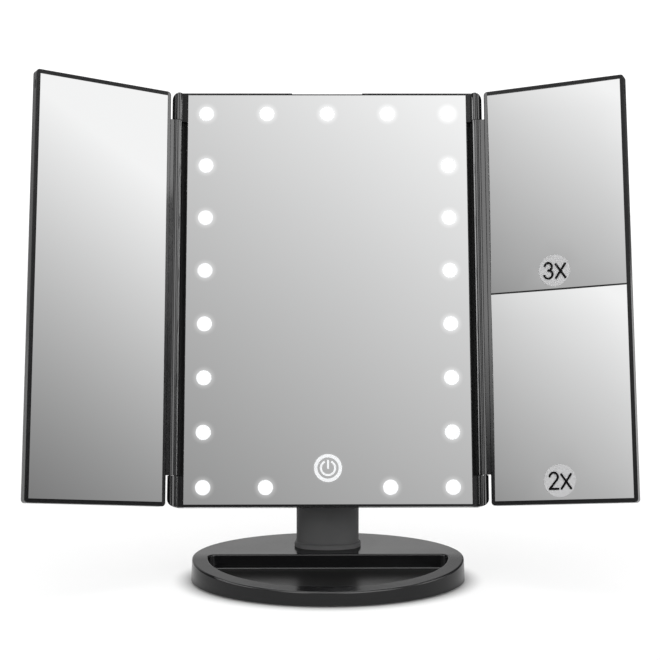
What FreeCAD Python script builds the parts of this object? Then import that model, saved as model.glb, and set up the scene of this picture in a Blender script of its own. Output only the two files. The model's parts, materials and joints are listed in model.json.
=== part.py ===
import FreeCAD, Part
import math
import os
import Sketcher

# A three-panel lighted vanity mirror on an oval weighted base, in millimetres.
# World frame: +Z up, -Y towards the user, +X to the user's right, origin on the surface
# that the mirror stands on, under the centre of the oval base.
# The head (centre panel) is drawn upright in its own frame: x to the right, y to the back,
# z up, with y = 0 in the face of the centre glass and z = 0 at the panel's lower edge.
# Each wing is drawn opened flat, in a frame whose origin is on its hinge axis.

SIZES = [
    # base
    ("base_long", 76.9, "half length of the base's top outline"),
    ("base_short", 56.9, "half depth of the base's top outline"),
    ("base_flare", 0.7, "how far the wall runs out towards its foot"),
    ("base_top", 13.45, "height of the flat rear half of the top"),
    ("base_lift", 1.0, "height of the wall's lower edge, on its non-slip ring"),
    ("base_slope", 5.2, "downward slope of the front half, degrees"),
    ("bend_radius", 120.0, "soft bend between the flat and the sloping half"),
    ("base_round", 1.0, "radius of the top edge"),
    ("rim_width", 9.0, "rim between the outline and the tray"),
    ("tray_back", 3.3, "tray's straight rear wall, behind the centre"),
    ("tray_floor", 4.95, "height of the tray's floor"),
    ("tray_corner", 4.0, "radius of the tray's two rear corners"),
    ("tray_foot", 1.2, "rounding where the tray's walls meet its floor"),
    ("tray_lip", 0.9, "rounding of the tray's upper edge"),
    ("tray_skin", 1.9, "thickness under the tray"),
    ("plate_inset", 2.4, "wall outside the bottom plate"),
    ("plate_thick", 1.5, "bottom plate"),
    ("plate_fit", 0.15, "clearance round the bottom plate"),
    ("bay_top", 11.25, "ceiling of the weight bay"),
    ("weight_top", 7.6, "top of the steel weight"),
    ("weight_gap", 1.2, "clearance round the weight"),
    ("mat_long", 61.0, "half length of the non-slip ring"),
    ("mat_short", 42.0, "half depth of the non-slip ring"),
    ("mat_wide", 9.0, "width of the non-slip ring"),
    ("base_screw_across", 48.5, "bottom screws each side of the centre"),
    ("base_screw_along", 36.5, "bottom screws in front and behind"),
    # post
    ("pivot_y", 24.9, "tilt axis behind the base's centre"),
    ("pivot_z", 59.8, "tilt axis above the table"),
    ("post_half", 18.1, "half width of the post"),
    ("post_deep", 11.0, "half depth of the post"),
    ("post_end", 9.5, "radius of the rounded ends of its section"),
    ("post_wall", 2.4, "wall of the post"),
    ("post_solid", 46.0, "height where the hollow ends"),
    ("collar_tall", 3.0, "foot collar"),
    ("collar_out", 1.2, "how far the collar stands proud"),
    ("collar_fit", 0.05, "clearance between collar and post"),
    ("slot_half", 8.3, "half width of the slot for the tongue"),
    ("slot_radius", 9.5, "radius of the slot's round bottom"),
    ("slot_rear", 6.8, "slot's rear wall behind the axis"),
    ("tongue_half", 7.2, "half width of the head's tongue"),
    ("tongue_radius", 9.0, "tongue's round end"),
    ("pin_radius", 2.5, "tilt pin"),
    ("pin_half", 16.0, "half length of the tilt pin"),
    ("pin_fit", 0.05, "running clearance on the tilt pin"),
    ("washer_radius", 7.0, "friction washer"),
    ("washer_fit", 0.05, "clearance each side of a washer"),
    ("foot_block_top", 24.0, "top of the solid foot block of the post"),
    ("foot_screw_across", 10.5, "foot screws each side of the centre"),
    ("foot_screw_along", 5.0, "foot screws in front of and behind the post's middle"),
    ("closing_screw_low", 20.6, "lower screw that closes the post"),
    ("closing_screw_high", 48.0, "upper screw that closes the post"),
    ("screw_sink", 5.0, "depth of a screw head's recess"),
    # screws
    ("screw_shank", 1.1, "radius of a screw's shank"),
    ("screw_hole", 1.35, "radius of a clearance hole"),
    ("screw_head", 2.4, "radius of a screw head"),
    ("screw_head_hole", 2.6, "radius of a recess for a screw head"),
    ("screw_head_tall", 1.8, "height of a pan head"),
    ("flat_head_tall", 0.8, "height of a flat head"),
    ("screw_bite", 4.0, "thread in a boss"),
    # head
    ("head_tilt", 15.4, "lean of the head at rest, degrees"),
    ("pivot_back", 26.5, "tilt axis behind the glass face"),
    ("pivot_up", 24.5, "tilt axis above the panel's lower edge"),
    ("panel_half", 89.5, "half width of the centre panel"),
    ("panel_tall", 241.0, "height of the centre panel"),
    ("panel_corner", 5.0, "corner radius, seen from the front"),
    ("panel_round", 4.0, "radius of the rear edges"),
    ("glass_half", 81.2, "half width of the centre glass"),
    ("glass_low", 1.5, "glass above the panel's lower edge"),
    ("glass_high", 240.1, "top of the glass"),
    ("glass_thick", 2.0, "centre glass"),
    ("glass_fit", 0.05, "clearance round the glass"),
    ("rim_half", 81.7, "half width of the thin rim round the glass"),
    ("rim_proud", 0.5, "rim in front of the glass"),
    ("channel_face", 0.4, "channel behind each hinge barrel"),
    ("gap_floor", 2.2, "bottom of the shadow gap beside the rim"),
    ("gap_wide", 2.1, "width of the shadow gap"),
    ("ledge_half", 78.0, "half width of the window in the ledge"),
    ("ledge_inset", 3.4, "ledge above and below the window"),
    ("parting", 3.2, "joint between front frame and rear shell"),
    ("shell_back", 14.0, "back of the rear shell"),
    ("shell_wall", 2.0, "wall of the rear shell"),
    ("flange_thick", 2.6, "flange of the tilt bracket"),
    ("flange_half", 20.0, "half width of the flange"),
    ("flange_tall", 14.0, "half height of the flange"),
    ("bracket_screw_across", 15.0, "bracket screws each side of the centre"),
    ("bracket_screw_along", 9.5, "bracket screws above and below the tongue's middle"),
    ("notch_half", 20.5, "finger notch in the top edge"),
    ("notch_deep", 0.5, "depth of the finger notch"),
    ("head_screw_across", 85.3, "head screws each side of the centre"),
    ("head_screw_low", 20.0, "lowest head screw"),
    ("head_screw_pitch", 100.5, "between head screws"),
    ("boss_radius", 3.6, "screw boss"),
    # hinges
    ("hinge_across", 87.2, "hinge axis each side of the centre"),
    ("hinge_front", 3.4, "hinge axis in front of the glass face"),
    ("barrel_radius", 2.9, "hinge barrel and knuckles"),
    ("knuckle_tall", 17.3, "end knuckle"),
    ("knuckle_drop", 1.1, "top of the upper knuckles below the panel's top"),
    ("knuckle_gap", 0.3, "gap between knuckle and barrel"),
    ("hinge_pin", 1.0, "radius of a hinge pin"),
    ("hinge_pin_in", 10.0, "hinge pin's depth in the wing's barrel"),
    ("hinge_pin_end", 3.0, "plastic over the pin's outer end"),
    ("groove_half", 0.45, "half width of the groove down a knuckle"),
    # wings
    ("wing_low", 0.2, "wing above the panel's lower edge"),
    ("wing_high", 239.6, "top of the wing"),
    ("wing_near", 4.9, "near side of the wing, from its axis"),
    ("wing_far", 86.9, "outer side of the wing, from its axis"),
    ("wing_corner", 2.0, "corner radius of a wing"),
    ("wing_round", 1.6, "radius of a wing's rear edges"),
    ("wing_face", 2.2, "border in front of the hinge axis"),
    ("wing_glass_face", 1.9, "wing glass in front of the hinge axis"),
    ("wing_glass_thick", 1.8, "wing glass"),
    ("wing_parting", 1.3, "joint between wing frame and cover"),
    ("wing_back", 4.7, "back of the wing, behind the hinge axis"),
    ("wing_glass_near", 7.0, "near edge of the wing glass"),
    ("wing_glass_far", 84.7, "outer edge of the wing glass"),
    ("wing_glass_low", 2.6, "lower edge of the wing glass"),
    ("wing_glass_high", 237.2, "upper edge of the wing glass"),
    ("bevel", 0.5, "bevel along the wing's front edges"),
    ("cover_wall", 1.8, "wall of a wing's cover"),
    ("web_face", 1.5, "step between border and barrel"),
    ("slot_drop", 11.0, "small slot below the wing's top"),
    ("slot_long", 5.0, "length of the small slot"),
    ("slot_wide", 1.2, "width of the small slot"),
    ("slot_depth", 0.8, "depth of the small slot"),
    ("divider_half", 0.4, "half thickness of the bar between magnifiers"),
    ("label_radius", 9.0, "round magnification label"),
    ("label_back", 0.8, "back of a label in front of the hinge axis"),
    ("curve_two", 3000.0, "radius of the hollow face of the 2x mirror"),
    ("curve_three", 2050.0, "radius of the hollow face of the 3x mirror"),
    ("label_across", 44.1, "label from the hinge axis"),
    ("label_rise", 10.5, "label above the lower edge of its mirror"),
    ("left_open", 30.6, "left wing turned forward from flat, degrees"),
    ("right_open", 23.6, "right wing turned forward from flat, degrees"),
    # lights and electrical parts
    ("dot_radius", 4.3, "light window"),
    ("dot_across", 70.45, "light columns each side of the centre"),
    ("dot_low", 11.0, "lowest row of lights"),
    ("dot_pitch", 31.1, "between rows of lights"),
    ("dot_row_pitch", 35.2, "between lights in the top and bottom rows"),
    ("window_deep", 0.5, "depth of a window in the glass"),
    ("window_fit", 0.02, "clearance round a window"),
    ("ring_height", 21.9, "centre of the touch ring"),
    ("ring_outer", 7.9, "outer radius of the touch ring"),
    ("ring_inner", 5.95, "inner radius of the touch ring"),
    ("symbol_outer", 4.6, "outer radius of the power symbol"),
    ("symbol_inner", 3.4, "inner radius of the power symbol"),
    ("symbol_gap", 27.0, "half opening of the power symbol, degrees"),
    ("symbol_bar", 0.6, "half width of the power symbol's bar"),
    ("symbol_bar_low", 0.5, "bar's lower end below the ring's centre"),
    ("board_thick", 0.8, "circuit boards"),
    ("strip_half", 3.5, "half width of a light strip"),
    ("chip_half", 1.75, "half size of a light chip"),
    ("chip_thick", 0.7, "light chip"),
    ("bulge_half", 30.0, "half width of the battery bulge"),
    ("bulge_low", 50.0, "lower end of the battery bulge"),
    ("bulge_high", 116.0, "upper end of the battery bulge"),
    ("bulge_back", 21.0, "back of the battery bulge"),
    ("tray_half", 23.2, "half width of the battery tray"),
    ("tray_low", 55.0, "lower end of the battery tray"),
    ("tray_high", 109.5, "upper end of the battery tray"),
    ("tray_front", 6.4, "front of the battery tray"),
    ("tray_wall", 1.2, "wall of the battery tray"),
    ("cell_radius", 5.2, "battery, 10.4 across"),
    ("cell_long", 44.0, "battery's body"),
    ("cell_pitch", 11.0, "between batteries"),
    ("nub_radius", 1.9, "battery's positive end"),
    ("nub_tall", 0.8, "height of the positive end"),
    ("contact_thick", 0.4, "contact plates"),
    ("contact_half", 3.6, "half width of a contact plate"),
    ("door_half", 25.5, "half width of the battery door"),
    ("door_low", 51.5, "lower edge of the battery door"),
    ("door_high", 113.0, "upper edge of the battery door"),
    ("door_thick", 1.8, "battery door"),
    ("door_fit", 0.25, "clearance round the battery door"),
    ("thumb_half", 9.0, "half width of the door's thumb grooves"),
    ("thumb_pitch", 3.0, "between thumb grooves"),
    ("main_front", 6.7, "front of the main board"),
    ("main_left", 34.0, "main board's inner edge"),
    ("main_right", 76.0, "main board's outer edge"),
    ("main_low", 18.0, "main board's lower edge"),
    ("main_high", 64.0, "main board's upper edge"),
    ("controller_thick", 1.4, "controller chip"),
    ("controller_in", 9.0, "controller chip from the board's corner, and its size"),
    ("capacitor_long", 2.0, "capacitor"),
    ("capacitor_radius", 2.5, "capacitor's radius"),
    ("charge_front", 7.0, "front of the charging board"),
    ("charge_half", 10.0, "half size of the charging board"),
    ("touch_half", 12.0, "half width of the touch board"),
    ("touch_low", 14.9, "lower edge of the touch board"),
    ("touch_high", 31.0, "upper edge of the touch board"),
    ("knob_in", 2.5, "depth of the knob in the switch"),
    ("switch_across", 56.0, "power switch from the centre"),
    ("switch_up", 30.0, "power switch above the lower edge"),
    ("knob_half", 2.6, "half length of the switch knob"),
    ("knob_tall", 1.8, "half height of the switch knob"),
    ("switch_travel", 3.0, "travel of the switch"),
    ("knob_out", 1.4, "knob behind the shell"),
    ("socket_across", -56.0, "charging socket from the centre"),
    ("socket_half", 4.0, "half width of the charging socket"),
    ("socket_tall", 1.5, "half height of the charging socket"),
]

SIDES = (-1, 1)
NORMAL_SIGN = {"XY_Plane": 1, "XZ_Plane": -1, "YZ_Plane": 1}
TILT_AXIS = FreeCAD.Vector(1, 0, 0)
UPRIGHT = FreeCAD.Vector(0, 0, 1)

doc = FreeCAD.newDocument("lighted_vanity_mirror")
sheet = doc.addObject("Spreadsheet::Sheet", "sizes")
for row, (alias, number, note) in enumerate(SIZES, start=1):
    sheet.set(f"A{row}", alias)
    sheet.set(f"B{row}", str(number))
    sheet.set(f"C{row}", note)
    sheet.setAlias(f"B{row}", alias)
doc.recompute()

parts = []


def size(formula):
    """The present value of a formula over the sheet's aliases."""
    return float(sheet.evalExpression(str(formula)))


# ---------------------------------------------------------------- sketch helpers

def plane_of(body, role):
    for feature in body.Origin.OriginFeatures:
        if feature.Role == role:
            return feature
    raise ValueError(role)


def new_sketch(body, name, role, offset):
    """A sketch on one of the body's own planes, moved along the plane's normal."""
    sketch = body.newObject("Sketcher::SketchObject", f"{body.Name}_{name}")
    sketch.AttachmentSupport = [(plane_of(body, role), "")]
    sketch.MapMode = "FlatFace"
    sketch.setExpression("AttachmentOffset.Base.z", offset)
    return sketch


def hold(sketch, kind, refs, formula):
    """Adds one dimension and binds it to the sheet."""
    index = sketch.addConstraint(Sketcher.Constraint(kind, *refs, size(formula)))
    sketch.setExpression(f"Constraints[{index}]", str(formula))


def place(sketch, geometry, point, x, y):
    hold(sketch, "DistanceX", (-1, 1, geometry, point), x)
    hold(sketch, "DistanceY", (-1, 1, geometry, point), y)


def outline(sketch, corners):
    """A closed polygon through corners given as pairs of formulas."""
    points = [FreeCAD.Vector(size(x), size(y), 0) for x, y in corners]
    count = len(corners)
    first = sketch.GeometryCount
    for index in range(count):
        line = Part.LineSegment(points[index], points[(index + 1) % count])
        sketch.addGeometry(line, False)
    for index in range(count):
        following = first + (index + 1) % count
        sketch.addConstraint(Sketcher.Constraint("Coincident", first + index, 2, following, 1))
    for index, (x, y) in enumerate(corners):
        place(sketch, first + index, 1, x, y)


def rectangle(sketch, left, right, low, high):
    outline(sketch, [(left, low), (right, low), (right, high), (left, high)])


def circle(sketch, radius, x="0", y="0"):
    centre = FreeCAD.Vector(size(x), size(y), 0)
    ring = Part.Circle(centre, UPRIGHT, size(radius))
    index = sketch.addGeometry(ring, False)
    hold(sketch, "Radius", (index,), radius)
    place(sketch, index, 3, x, y)


def hold_axes(sketch, curve, long_half, short_half):
    """Centres an ellipse or an arc of one on the origin and binds its two axes."""
    first_axis = curve + 1
    second_axis = curve + 2
    sketch.exposeInternalGeometry(curve)
    sketch.addConstraint(Sketcher.Constraint("Coincident", curve, 3, -1, 1))
    sketch.addConstraint(Sketcher.Constraint("Horizontal", first_axis))
    hold(sketch, "Distance", (first_axis,), f"2 * ({long_half})")
    hold(sketch, "Distance", (second_axis,), f"2 * ({short_half})")


def ellipse(sketch, long_half, short_half):
    curve = Part.Ellipse(FreeCAD.Vector(0, 0, 0), size(long_half), size(short_half))
    hold_axes(sketch, sketch.addGeometry(curve, False), long_half, short_half)


def cut_ellipse(sketch, long_half, short_half, chord, side):
    """The part of an ellipse in front of (side -1) or behind (side 1) a straight chord."""
    full = Part.Ellipse(FreeCAD.Vector(0, 0, 0), size(long_half), size(short_half))
    rise = math.asin(size(chord) / size(short_half))
    start, end = (math.pi - rise, 2 * math.pi + rise) if side < 0 else (rise, math.pi - rise)
    index = sketch.addGeometry(Part.ArcOfEllipse(full, start, end), False)
    hold_axes(sketch, index, long_half, short_half)
    arc = sketch.Geometry[index]
    line = sketch.addGeometry(Part.LineSegment(arc.EndPoint, arc.StartPoint), False)
    sketch.addConstraint(Sketcher.Constraint("Coincident", index, 2, line, 1))
    sketch.addConstraint(Sketcher.Constraint("Coincident", line, 2, index, 1))
    sketch.addConstraint(Sketcher.Constraint("Horizontal", line))
    hold(sketch, "DistanceY", (-1, 1, line, 1), chord)


def oval(sketch, half_wide, half_deep, end_radius, middle="0"):
    """Four tangent arcs: two long shallow ones and two round ends, centred at y = middle."""
    wide = size(half_wide)
    deep = size(half_deep)
    end = size(end_radius)
    centre_y = size(middle)
    spread = wide - end
    # The long arc (radius big, centre big - deep beyond the middle) touches an end arc
    # inside where spread^2 + (big - deep)^2 = (big - end)^2.
    big_formula = (f"((({half_wide}) - ({end_radius}))^2 + ({half_deep})^2 - ({end_radius})^2)"
                   f" / (2 * (({half_deep}) - ({end_radius})))")
    big = size(big_formula)
    angle = math.atan2(big - deep, spread)
    arcs = [
        (spread, 0, end, -angle, angle),
        (0, deep - big, big, angle, math.pi - angle),
        (-spread, 0, end, math.pi - angle, math.pi + angle),
        (0, big - deep, big, math.pi + angle, 2 * math.pi - angle),
    ]
    first = sketch.GeometryCount
    for x, y, radius, start, finish in arcs:
        whole = Part.Circle(FreeCAD.Vector(x, centre_y + y, 0), UPRIGHT, radius)
        sketch.addGeometry(Part.ArcOfCircle(whole, start, finish), False)
    for index in range(4):
        following = first + (index + 1) % 4
        sketch.addConstraint(Sketcher.Constraint("Tangent", first + index, 2, following, 1))
    for index, sign in ((0, 1), (2, -1)):
        hold(sketch, "Radius", (first + index,), end_radius)
        place(sketch, first + index, 3, f"{sign} * (({half_wide}) - ({end_radius}))", middle)
    for index in (1, 3):
        hold(sketch, "Radius", (first + index,), big_formula)


# ---------------------------------------------------------------- feature helpers

def new_body(label):
    body = doc.addObject("PartDesign::Body", label)
    body.Label = label
    body.AllowCompound = True
    parts.append(body)
    return body


def extrude(body, name, role, start, end, draw, cut=False):
    """Pads or pockets a drawing between two positions along its plane's world axis."""
    sign = NORMAL_SIGN[role]
    near_start = (sign > 0) != cut
    offset = f"{sign} * ({start if near_start else end})"
    sketch = new_sketch(body, f"{name}_sketch", role, offset)
    draw(sketch)
    volume_before = body.Shape.Volume if body.Tip else 0.0
    kind = "PartDesign::Pocket" if cut else "PartDesign::Pad"
    feature = body.newObject(kind, f"{body.Name}_{name}")
    feature.Profile = sketch
    feature.setExpression("Length", f"({end}) - ({start})")
    doc.recompute()
    volume_change = body.Shape.Volume - volume_before
    if (volume_change < 0) != cut or volume_change == 0:
        raise ValueError(f"{body.Label}.{name} changed the volume by {volume_change}")
    return feature


def pocket(body, name, role, start, end, draw):
    return extrude(body, name, role, start, end, draw, cut=True)


def loft(body, name, sections):
    """A ruled loft through (height, drawing) sections on the XY plane."""
    sketches = []
    for index, (height, draw) in enumerate(sections):
        sketch = new_sketch(body, f"{name}_section{index}", "XY_Plane", height)
        draw(sketch)
        sketches.append(sketch)
    feature = body.newObject("PartDesign::AdditiveLoft", f"{body.Name}_{name}")
    feature.Profile = sketches[0]
    feature.Sections = sketches[1:]
    feature.Ruled = True
    doc.recompute()


def dress(body, kind, name, amount_name, amount, choose):
    """Fillets or chamfers the edges for which choose(edge) is true."""
    base = body.Tip
    names = [f"Edge{number}" for number, edge in enumerate(base.Shape.Edges, start=1) if choose(edge)]
    if not names:
        raise ValueError(f"{body.Label}.{name} found no edges")
    feature = body.newObject(kind, f"{body.Name}_{name}")
    feature.Base = (base, names)
    feature.setExpression(amount_name, amount)
    doc.recompute()


def fillet(body, name, radius, choose):
    dress(body, "PartDesign::Fillet", name, "Radius", radius, choose)


def chamfer(body, name, amount, choose):
    dress(body, "PartDesign::Chamfer", name, "Size", amount, choose)


def lies_at(edge, axis, position, tolerance=0.01):
    """True when the whole edge lies at one position along an axis ('X', 'Y' or 'Z')."""
    box = edge.BoundBox
    low = getattr(box, axis + "Min")
    high = getattr(box, axis + "Max")
    return abs(low - position) < tolerance and abs(high - position) < tolerance


def runs_along(edge, axis):
    """True for a straight edge parallel to an axis."""
    box = edge.BoundBox
    lengths = {"X": box.XLength, "Y": box.YLength, "Z": box.ZLength}
    others = [length for name, length in lengths.items() if name != axis]
    return lengths[axis] > 0.01 and max(others) < 0.01


# ---------------------------------------------------------------- placements

def head_placement():
    """Leans the head back about the tilt axis."""
    lean = FreeCAD.Rotation(TILT_AXIS, -size("sizes.head_tilt"))
    pivot = FreeCAD.Vector(0, size("sizes.pivot_y"), size("sizes.pivot_z"))
    own_pivot = FreeCAD.Vector(0, size("sizes.pivot_back"), size("sizes.pivot_up"))
    return FreeCAD.Placement(pivot - lean.multVec(own_pivot), lean)


def wing_placement(side):
    """Turns a wing forward about its hinge axis on the head."""
    turn = size("sizes.left_open") if side < 0 else -size("sizes.right_open")
    hinge = FreeCAD.Vector(side * size("sizes.hinge_across"), -size("sizes.hinge_front"), 0)
    on_head = FreeCAD.Placement(hinge, FreeCAD.Rotation(UPRIGHT, turn))
    return head_placement().multiply(on_head)


# ---------------------------------------------------------------- base and post

TRAY_LONG = "sizes.base_long - sizes.rim_width"
TRAY_SHORT = "sizes.base_short - sizes.rim_width"
PLATE_LONG = "sizes.base_long - sizes.plate_inset"
PLATE_SHORT = "sizes.base_short - sizes.plate_inset"
PLATE_TOP = "sizes.base_lift + sizes.plate_thick"
BAY_FRONT = "sizes.tray_back + sizes.post_wall"


def four_corners(across, along):
    for side in SIDES:
        for end in SIDES:
            yield f"{side} * {across}", f"{end} * {along}"


def base_screw_circles(sketch, radius):
    for x, y in four_corners("sizes.base_screw_across", "sizes.base_screw_along"):
        circle(sketch, radius, x, y)


def base_shell():
    body = new_body("base_shell")
    loft(body, "wall", [
        ("sizes.base_lift", lambda sketch: ellipse(sketch, "sizes.base_long + sizes.base_flare",
                                                   "sizes.base_short + sizes.base_flare")),
        ("sizes.base_top", lambda sketch: ellipse(sketch, "sizes.base_long", "sizes.base_short")),
    ])
    reach = "2 * sizes.base_long"
    pocket(body, "front_slope", "YZ_Plane", f"-({reach})", reach, above_the_slope)
    fillet(body, "top_round", "sizes.base_round", lambda edge: edge.BoundBox.ZMin > size(PLATE_TOP)
           and not runs_along(edge, "X") and not runs_along(edge, "Z"))
    pocket(body, "tray", "XY_Plane", "sizes.tray_floor", "sizes.base_top + sizes.base_round",
           lambda sketch: cut_ellipse(sketch, TRAY_LONG, TRAY_SHORT, "sizes.tray_back", -1))
    fillet(body, "tray_corners", "sizes.tray_corner", lambda edge: runs_along(edge, "Z")
           and abs(edge.BoundBox.YMax - size("sizes.tray_back")) < 0.01
           and edge.BoundBox.ZMin > size("sizes.tray_floor") - 0.01)
    fillet(body, "tray_foot", "sizes.tray_foot", lambda edge: lies_at(edge, "Z", size("sizes.tray_floor")))
    fillet(body, "tray_lip", "sizes.tray_lip", on_tray_lip)
    pocket(body, "plate_recess", "XY_Plane", "sizes.base_lift", PLATE_TOP,
           lambda sketch: ellipse(sketch, PLATE_LONG, PLATE_SHORT))
    pocket(body, "under_tray", "XY_Plane", PLATE_TOP, "sizes.tray_floor - sizes.tray_skin",
           lambda sketch: ellipse(sketch, TRAY_LONG, TRAY_SHORT))
    pocket(body, "weight_bay", "XY_Plane", PLATE_TOP, "sizes.bay_top",
           lambda sketch: cut_ellipse(sketch, TRAY_LONG, TRAY_SHORT, BAY_FRONT, 1))
    pocket(body, "foot_screw_holes", "XY_Plane", "sizes.bay_top", "sizes.base_top",
           lambda sketch: foot_screw_circles(sketch, "sizes.screw_hole"))
    pocket(body, "plate_screw_holes", "XY_Plane", PLATE_TOP, f"{PLATE_TOP} + sizes.screw_bite",
           lambda sketch: base_screw_circles(sketch, "sizes.screw_shank"))


def on_tray_lip(edge):
    """True for the edges where the tray's walls meet the base's top."""
    box = edge.BoundBox
    inside = box.XMax < size(TRAY_LONG) + 0.01 and -box.XMin < size(TRAY_LONG) + 0.01
    above = box.ZMin > size("sizes.tray_floor + sizes.tray_foot") + 0.01
    return inside and above and -box.YMin < size(TRAY_SHORT) + 0.01 and not runs_along(edge, "Z")


def above_the_slope(sketch):
    """Everything over the base's sloping front half, seen from the side, with a soft bend at the middle."""
    slope = "tan(sizes.base_slope * 1 deg)"
    bend_y = "sizes.bend_radius * tan(sizes.base_slope * 0.5 deg)"
    radius = size("sizes.bend_radius")
    centre = FreeCAD.Vector(size(bend_y), size("sizes.base_top") - radius, 0)
    upright = math.pi / 2
    lean = math.radians(size("sizes.base_slope"))
    arc = Part.ArcOfCircle(Part.Circle(centre, UPRIGHT, radius), upright, upright + lean)
    curve = sketch.addGeometry(arc, False)
    hold(sketch, "Radius", (curve,), "sizes.bend_radius")
    place(sketch, curve, 3, bend_y, "sizes.base_top - sizes.bend_radius")
    corners = [("-sizes.base_long", f"sizes.base_top - sizes.base_long * {slope}"),
               ("-sizes.base_long", "2 * sizes.base_top"),
               (bend_y, "2 * sizes.base_top")]
    lines = chain_lines(sketch, curve, arc, corners)
    sketch.addConstraint(Sketcher.Constraint("Tangent", curve, 2, lines[0], 1))
    sketch.addConstraint(Sketcher.Constraint("Vertical", lines[-1]))


def chain_lines(sketch, curve, arc, corners):
    """Lines from an arc's end through placed corners and back to the arc's start."""
    points = [FreeCAD.Vector(size(a), size(b), 0) for a, b in corners]
    chain = [arc.EndPoint] + points + [arc.StartPoint]
    lines = [sketch.addGeometry(Part.LineSegment(a, b), False) for a, b in zip(chain, chain[1:])]
    for line, following in zip(lines, lines[1:]):
        sketch.addConstraint(Sketcher.Constraint("Coincident", line, 2, following, 1))
    sketch.addConstraint(Sketcher.Constraint("Coincident", lines[-1], 2, curve, 1))
    for line, (a, b) in zip(lines[1:], corners):
        place(sketch, line, 1, a, b)
    return lines


def foot_screw_circles(sketch, radius):
    for x, y in four_corners("sizes.foot_screw_across", "sizes.foot_screw_along"):
        circle(sketch, radius, x, f"sizes.pivot_y + {y}")


def base_plate():
    body = new_body("base_plate")
    extrude(body, "plate", "XY_Plane", "sizes.base_lift", PLATE_TOP,
            lambda sketch: ellipse(sketch, f"{PLATE_LONG} - sizes.plate_fit",
                                   f"{PLATE_SHORT} - sizes.plate_fit"))
    pocket(body, "screw_heads", "XY_Plane", "sizes.base_lift", "sizes.base_lift + sizes.flat_head_tall",
           lambda sketch: base_screw_circles(sketch, "sizes.screw_head_hole"))
    pocket(body, "screw_holes", "XY_Plane", "sizes.base_lift", PLATE_TOP,
           lambda sketch: base_screw_circles(sketch, "sizes.screw_hole"))


def base_screws():
    body = new_body("base_screws")
    extrude(body, "heads", "XY_Plane", "sizes.base_lift", "sizes.base_lift + sizes.flat_head_tall",
            lambda sketch: base_screw_circles(sketch, "sizes.screw_head"))
    extrude(body, "shanks", "XY_Plane", "sizes.base_lift + sizes.flat_head_tall",
            f"{PLATE_TOP} + sizes.screw_bite",
            lambda sketch: base_screw_circles(sketch, "sizes.screw_shank"))


def base_weight():
    body = new_body("base_weight")
    extrude(body, "slab", "XY_Plane", PLATE_TOP, "sizes.weight_top",
            lambda sketch: cut_ellipse(sketch, f"{TRAY_LONG} - sizes.weight_gap",
                                       f"{TRAY_SHORT} - sizes.weight_gap",
                                       f"{BAY_FRONT} + sizes.weight_gap", 1))


def non_slip_ring():
    """A flat rubber ring stuck under the bottom plate, on which the mirror stands."""
    body = new_body("non_slip_ring")
    extrude(body, "ring", "XY_Plane", "0", "sizes.base_lift",
            lambda sketch: ellipse(sketch, "sizes.mat_long", "sizes.mat_short"))
    pocket(body, "middle", "XY_Plane", "0", "sizes.base_lift",
           lambda sketch: ellipse(sketch, "sizes.mat_long - sizes.mat_wide",
                                  "sizes.mat_short - sizes.mat_wide"))


def stand_collar():
    body = new_body("stand_collar")
    extrude(body, "ring", "XY_Plane", "sizes.base_top", "sizes.base_top + sizes.collar_tall",
            lambda sketch: post_outline(sketch, "sizes.collar_out"))
    top = size("sizes.base_top + sizes.collar_tall")
    fillet(body, "bead", "sizes.collar_out", lambda edge: lies_at(edge, "Z", top))
    pocket(body, "bore", "XY_Plane", "sizes.base_top", "sizes.base_top + sizes.collar_tall",
           lambda sketch: post_outline(sketch, "sizes.collar_fit"))


def post_outline(sketch, grow="0"):
    """The post's section, made larger by grow all round."""
    oval(sketch, f"sizes.post_half + {grow}", f"sizes.post_deep + {grow}", f"sizes.post_end + {grow}",
         "sizes.pivot_y")


def post_shell(label, side):
    """One half of the post: side -1 is the front shell, side 1 the rear shell."""
    body = new_body(label)
    top = "sizes.pivot_z + sizes.post_deep"
    extrude(body, "column", "XY_Plane", "sizes.base_top", top, post_outline)
    beyond = f"sizes.pivot_y - {side} * 2 * sizes.post_deep"
    pocket(body, "other_half", "XY_Plane", "sizes.base_top", top, lambda sketch: rectangle(
        sketch, "-2 * sizes.post_half", "2 * sizes.post_half", beyond, "sizes.pivot_y"))
    pocket(body, "round_top", "YZ_Plane", "-sizes.post_half", "sizes.post_half", over_the_top)
    pocket(body, "hollow", "XY_Plane", "sizes.foot_block_top", "sizes.post_solid",
           lambda sketch: post_outline(sketch, "(-sizes.post_wall)"))
    pocket(body, "tongue_slot", "YZ_Plane", "-sizes.slot_half", "sizes.slot_half", lambda sketch: rectangle(
        sketch, "sizes.pivot_y - 2 * sizes.post_deep", "sizes.pivot_y + sizes.slot_rear",
        "sizes.pivot_z - sizes.slot_radius", "sizes.pivot_z + 2 * sizes.post_deep"))
    back = "sizes.pivot_y + sizes.post_deep"
    if side > 0:
        pocket(body, "slot_bottom", "YZ_Plane", "-sizes.slot_half", "sizes.slot_half",
               lambda sketch: circle(sketch, "sizes.slot_radius", "sizes.pivot_y", "sizes.pivot_z"))
        pocket(body, "screw_recesses", "XZ_Plane", f"{back} - sizes.screw_sink", back,
               lambda sketch: closing_screw_circles(sketch, "sizes.screw_head_hole"))
    pocket(body, "closing_screw_holes", "XZ_Plane", "sizes.pivot_y - sizes.screw_bite", back,
           lambda sketch: closing_screw_circles(sketch, "sizes.screw_shank"))
    pocket(body, "foot_screw_holes", "XY_Plane", "sizes.base_top", "sizes.base_top + 2 * sizes.screw_bite",
           lambda sketch: foot_screw_circles(sketch, "sizes.screw_shank"))
    pocket(body, "pin_seat", "YZ_Plane", "-sizes.pin_half", "sizes.pin_half",
           lambda sketch: circle(sketch, "sizes.pin_radius", "sizes.pivot_y", "sizes.pivot_z"))


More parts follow.
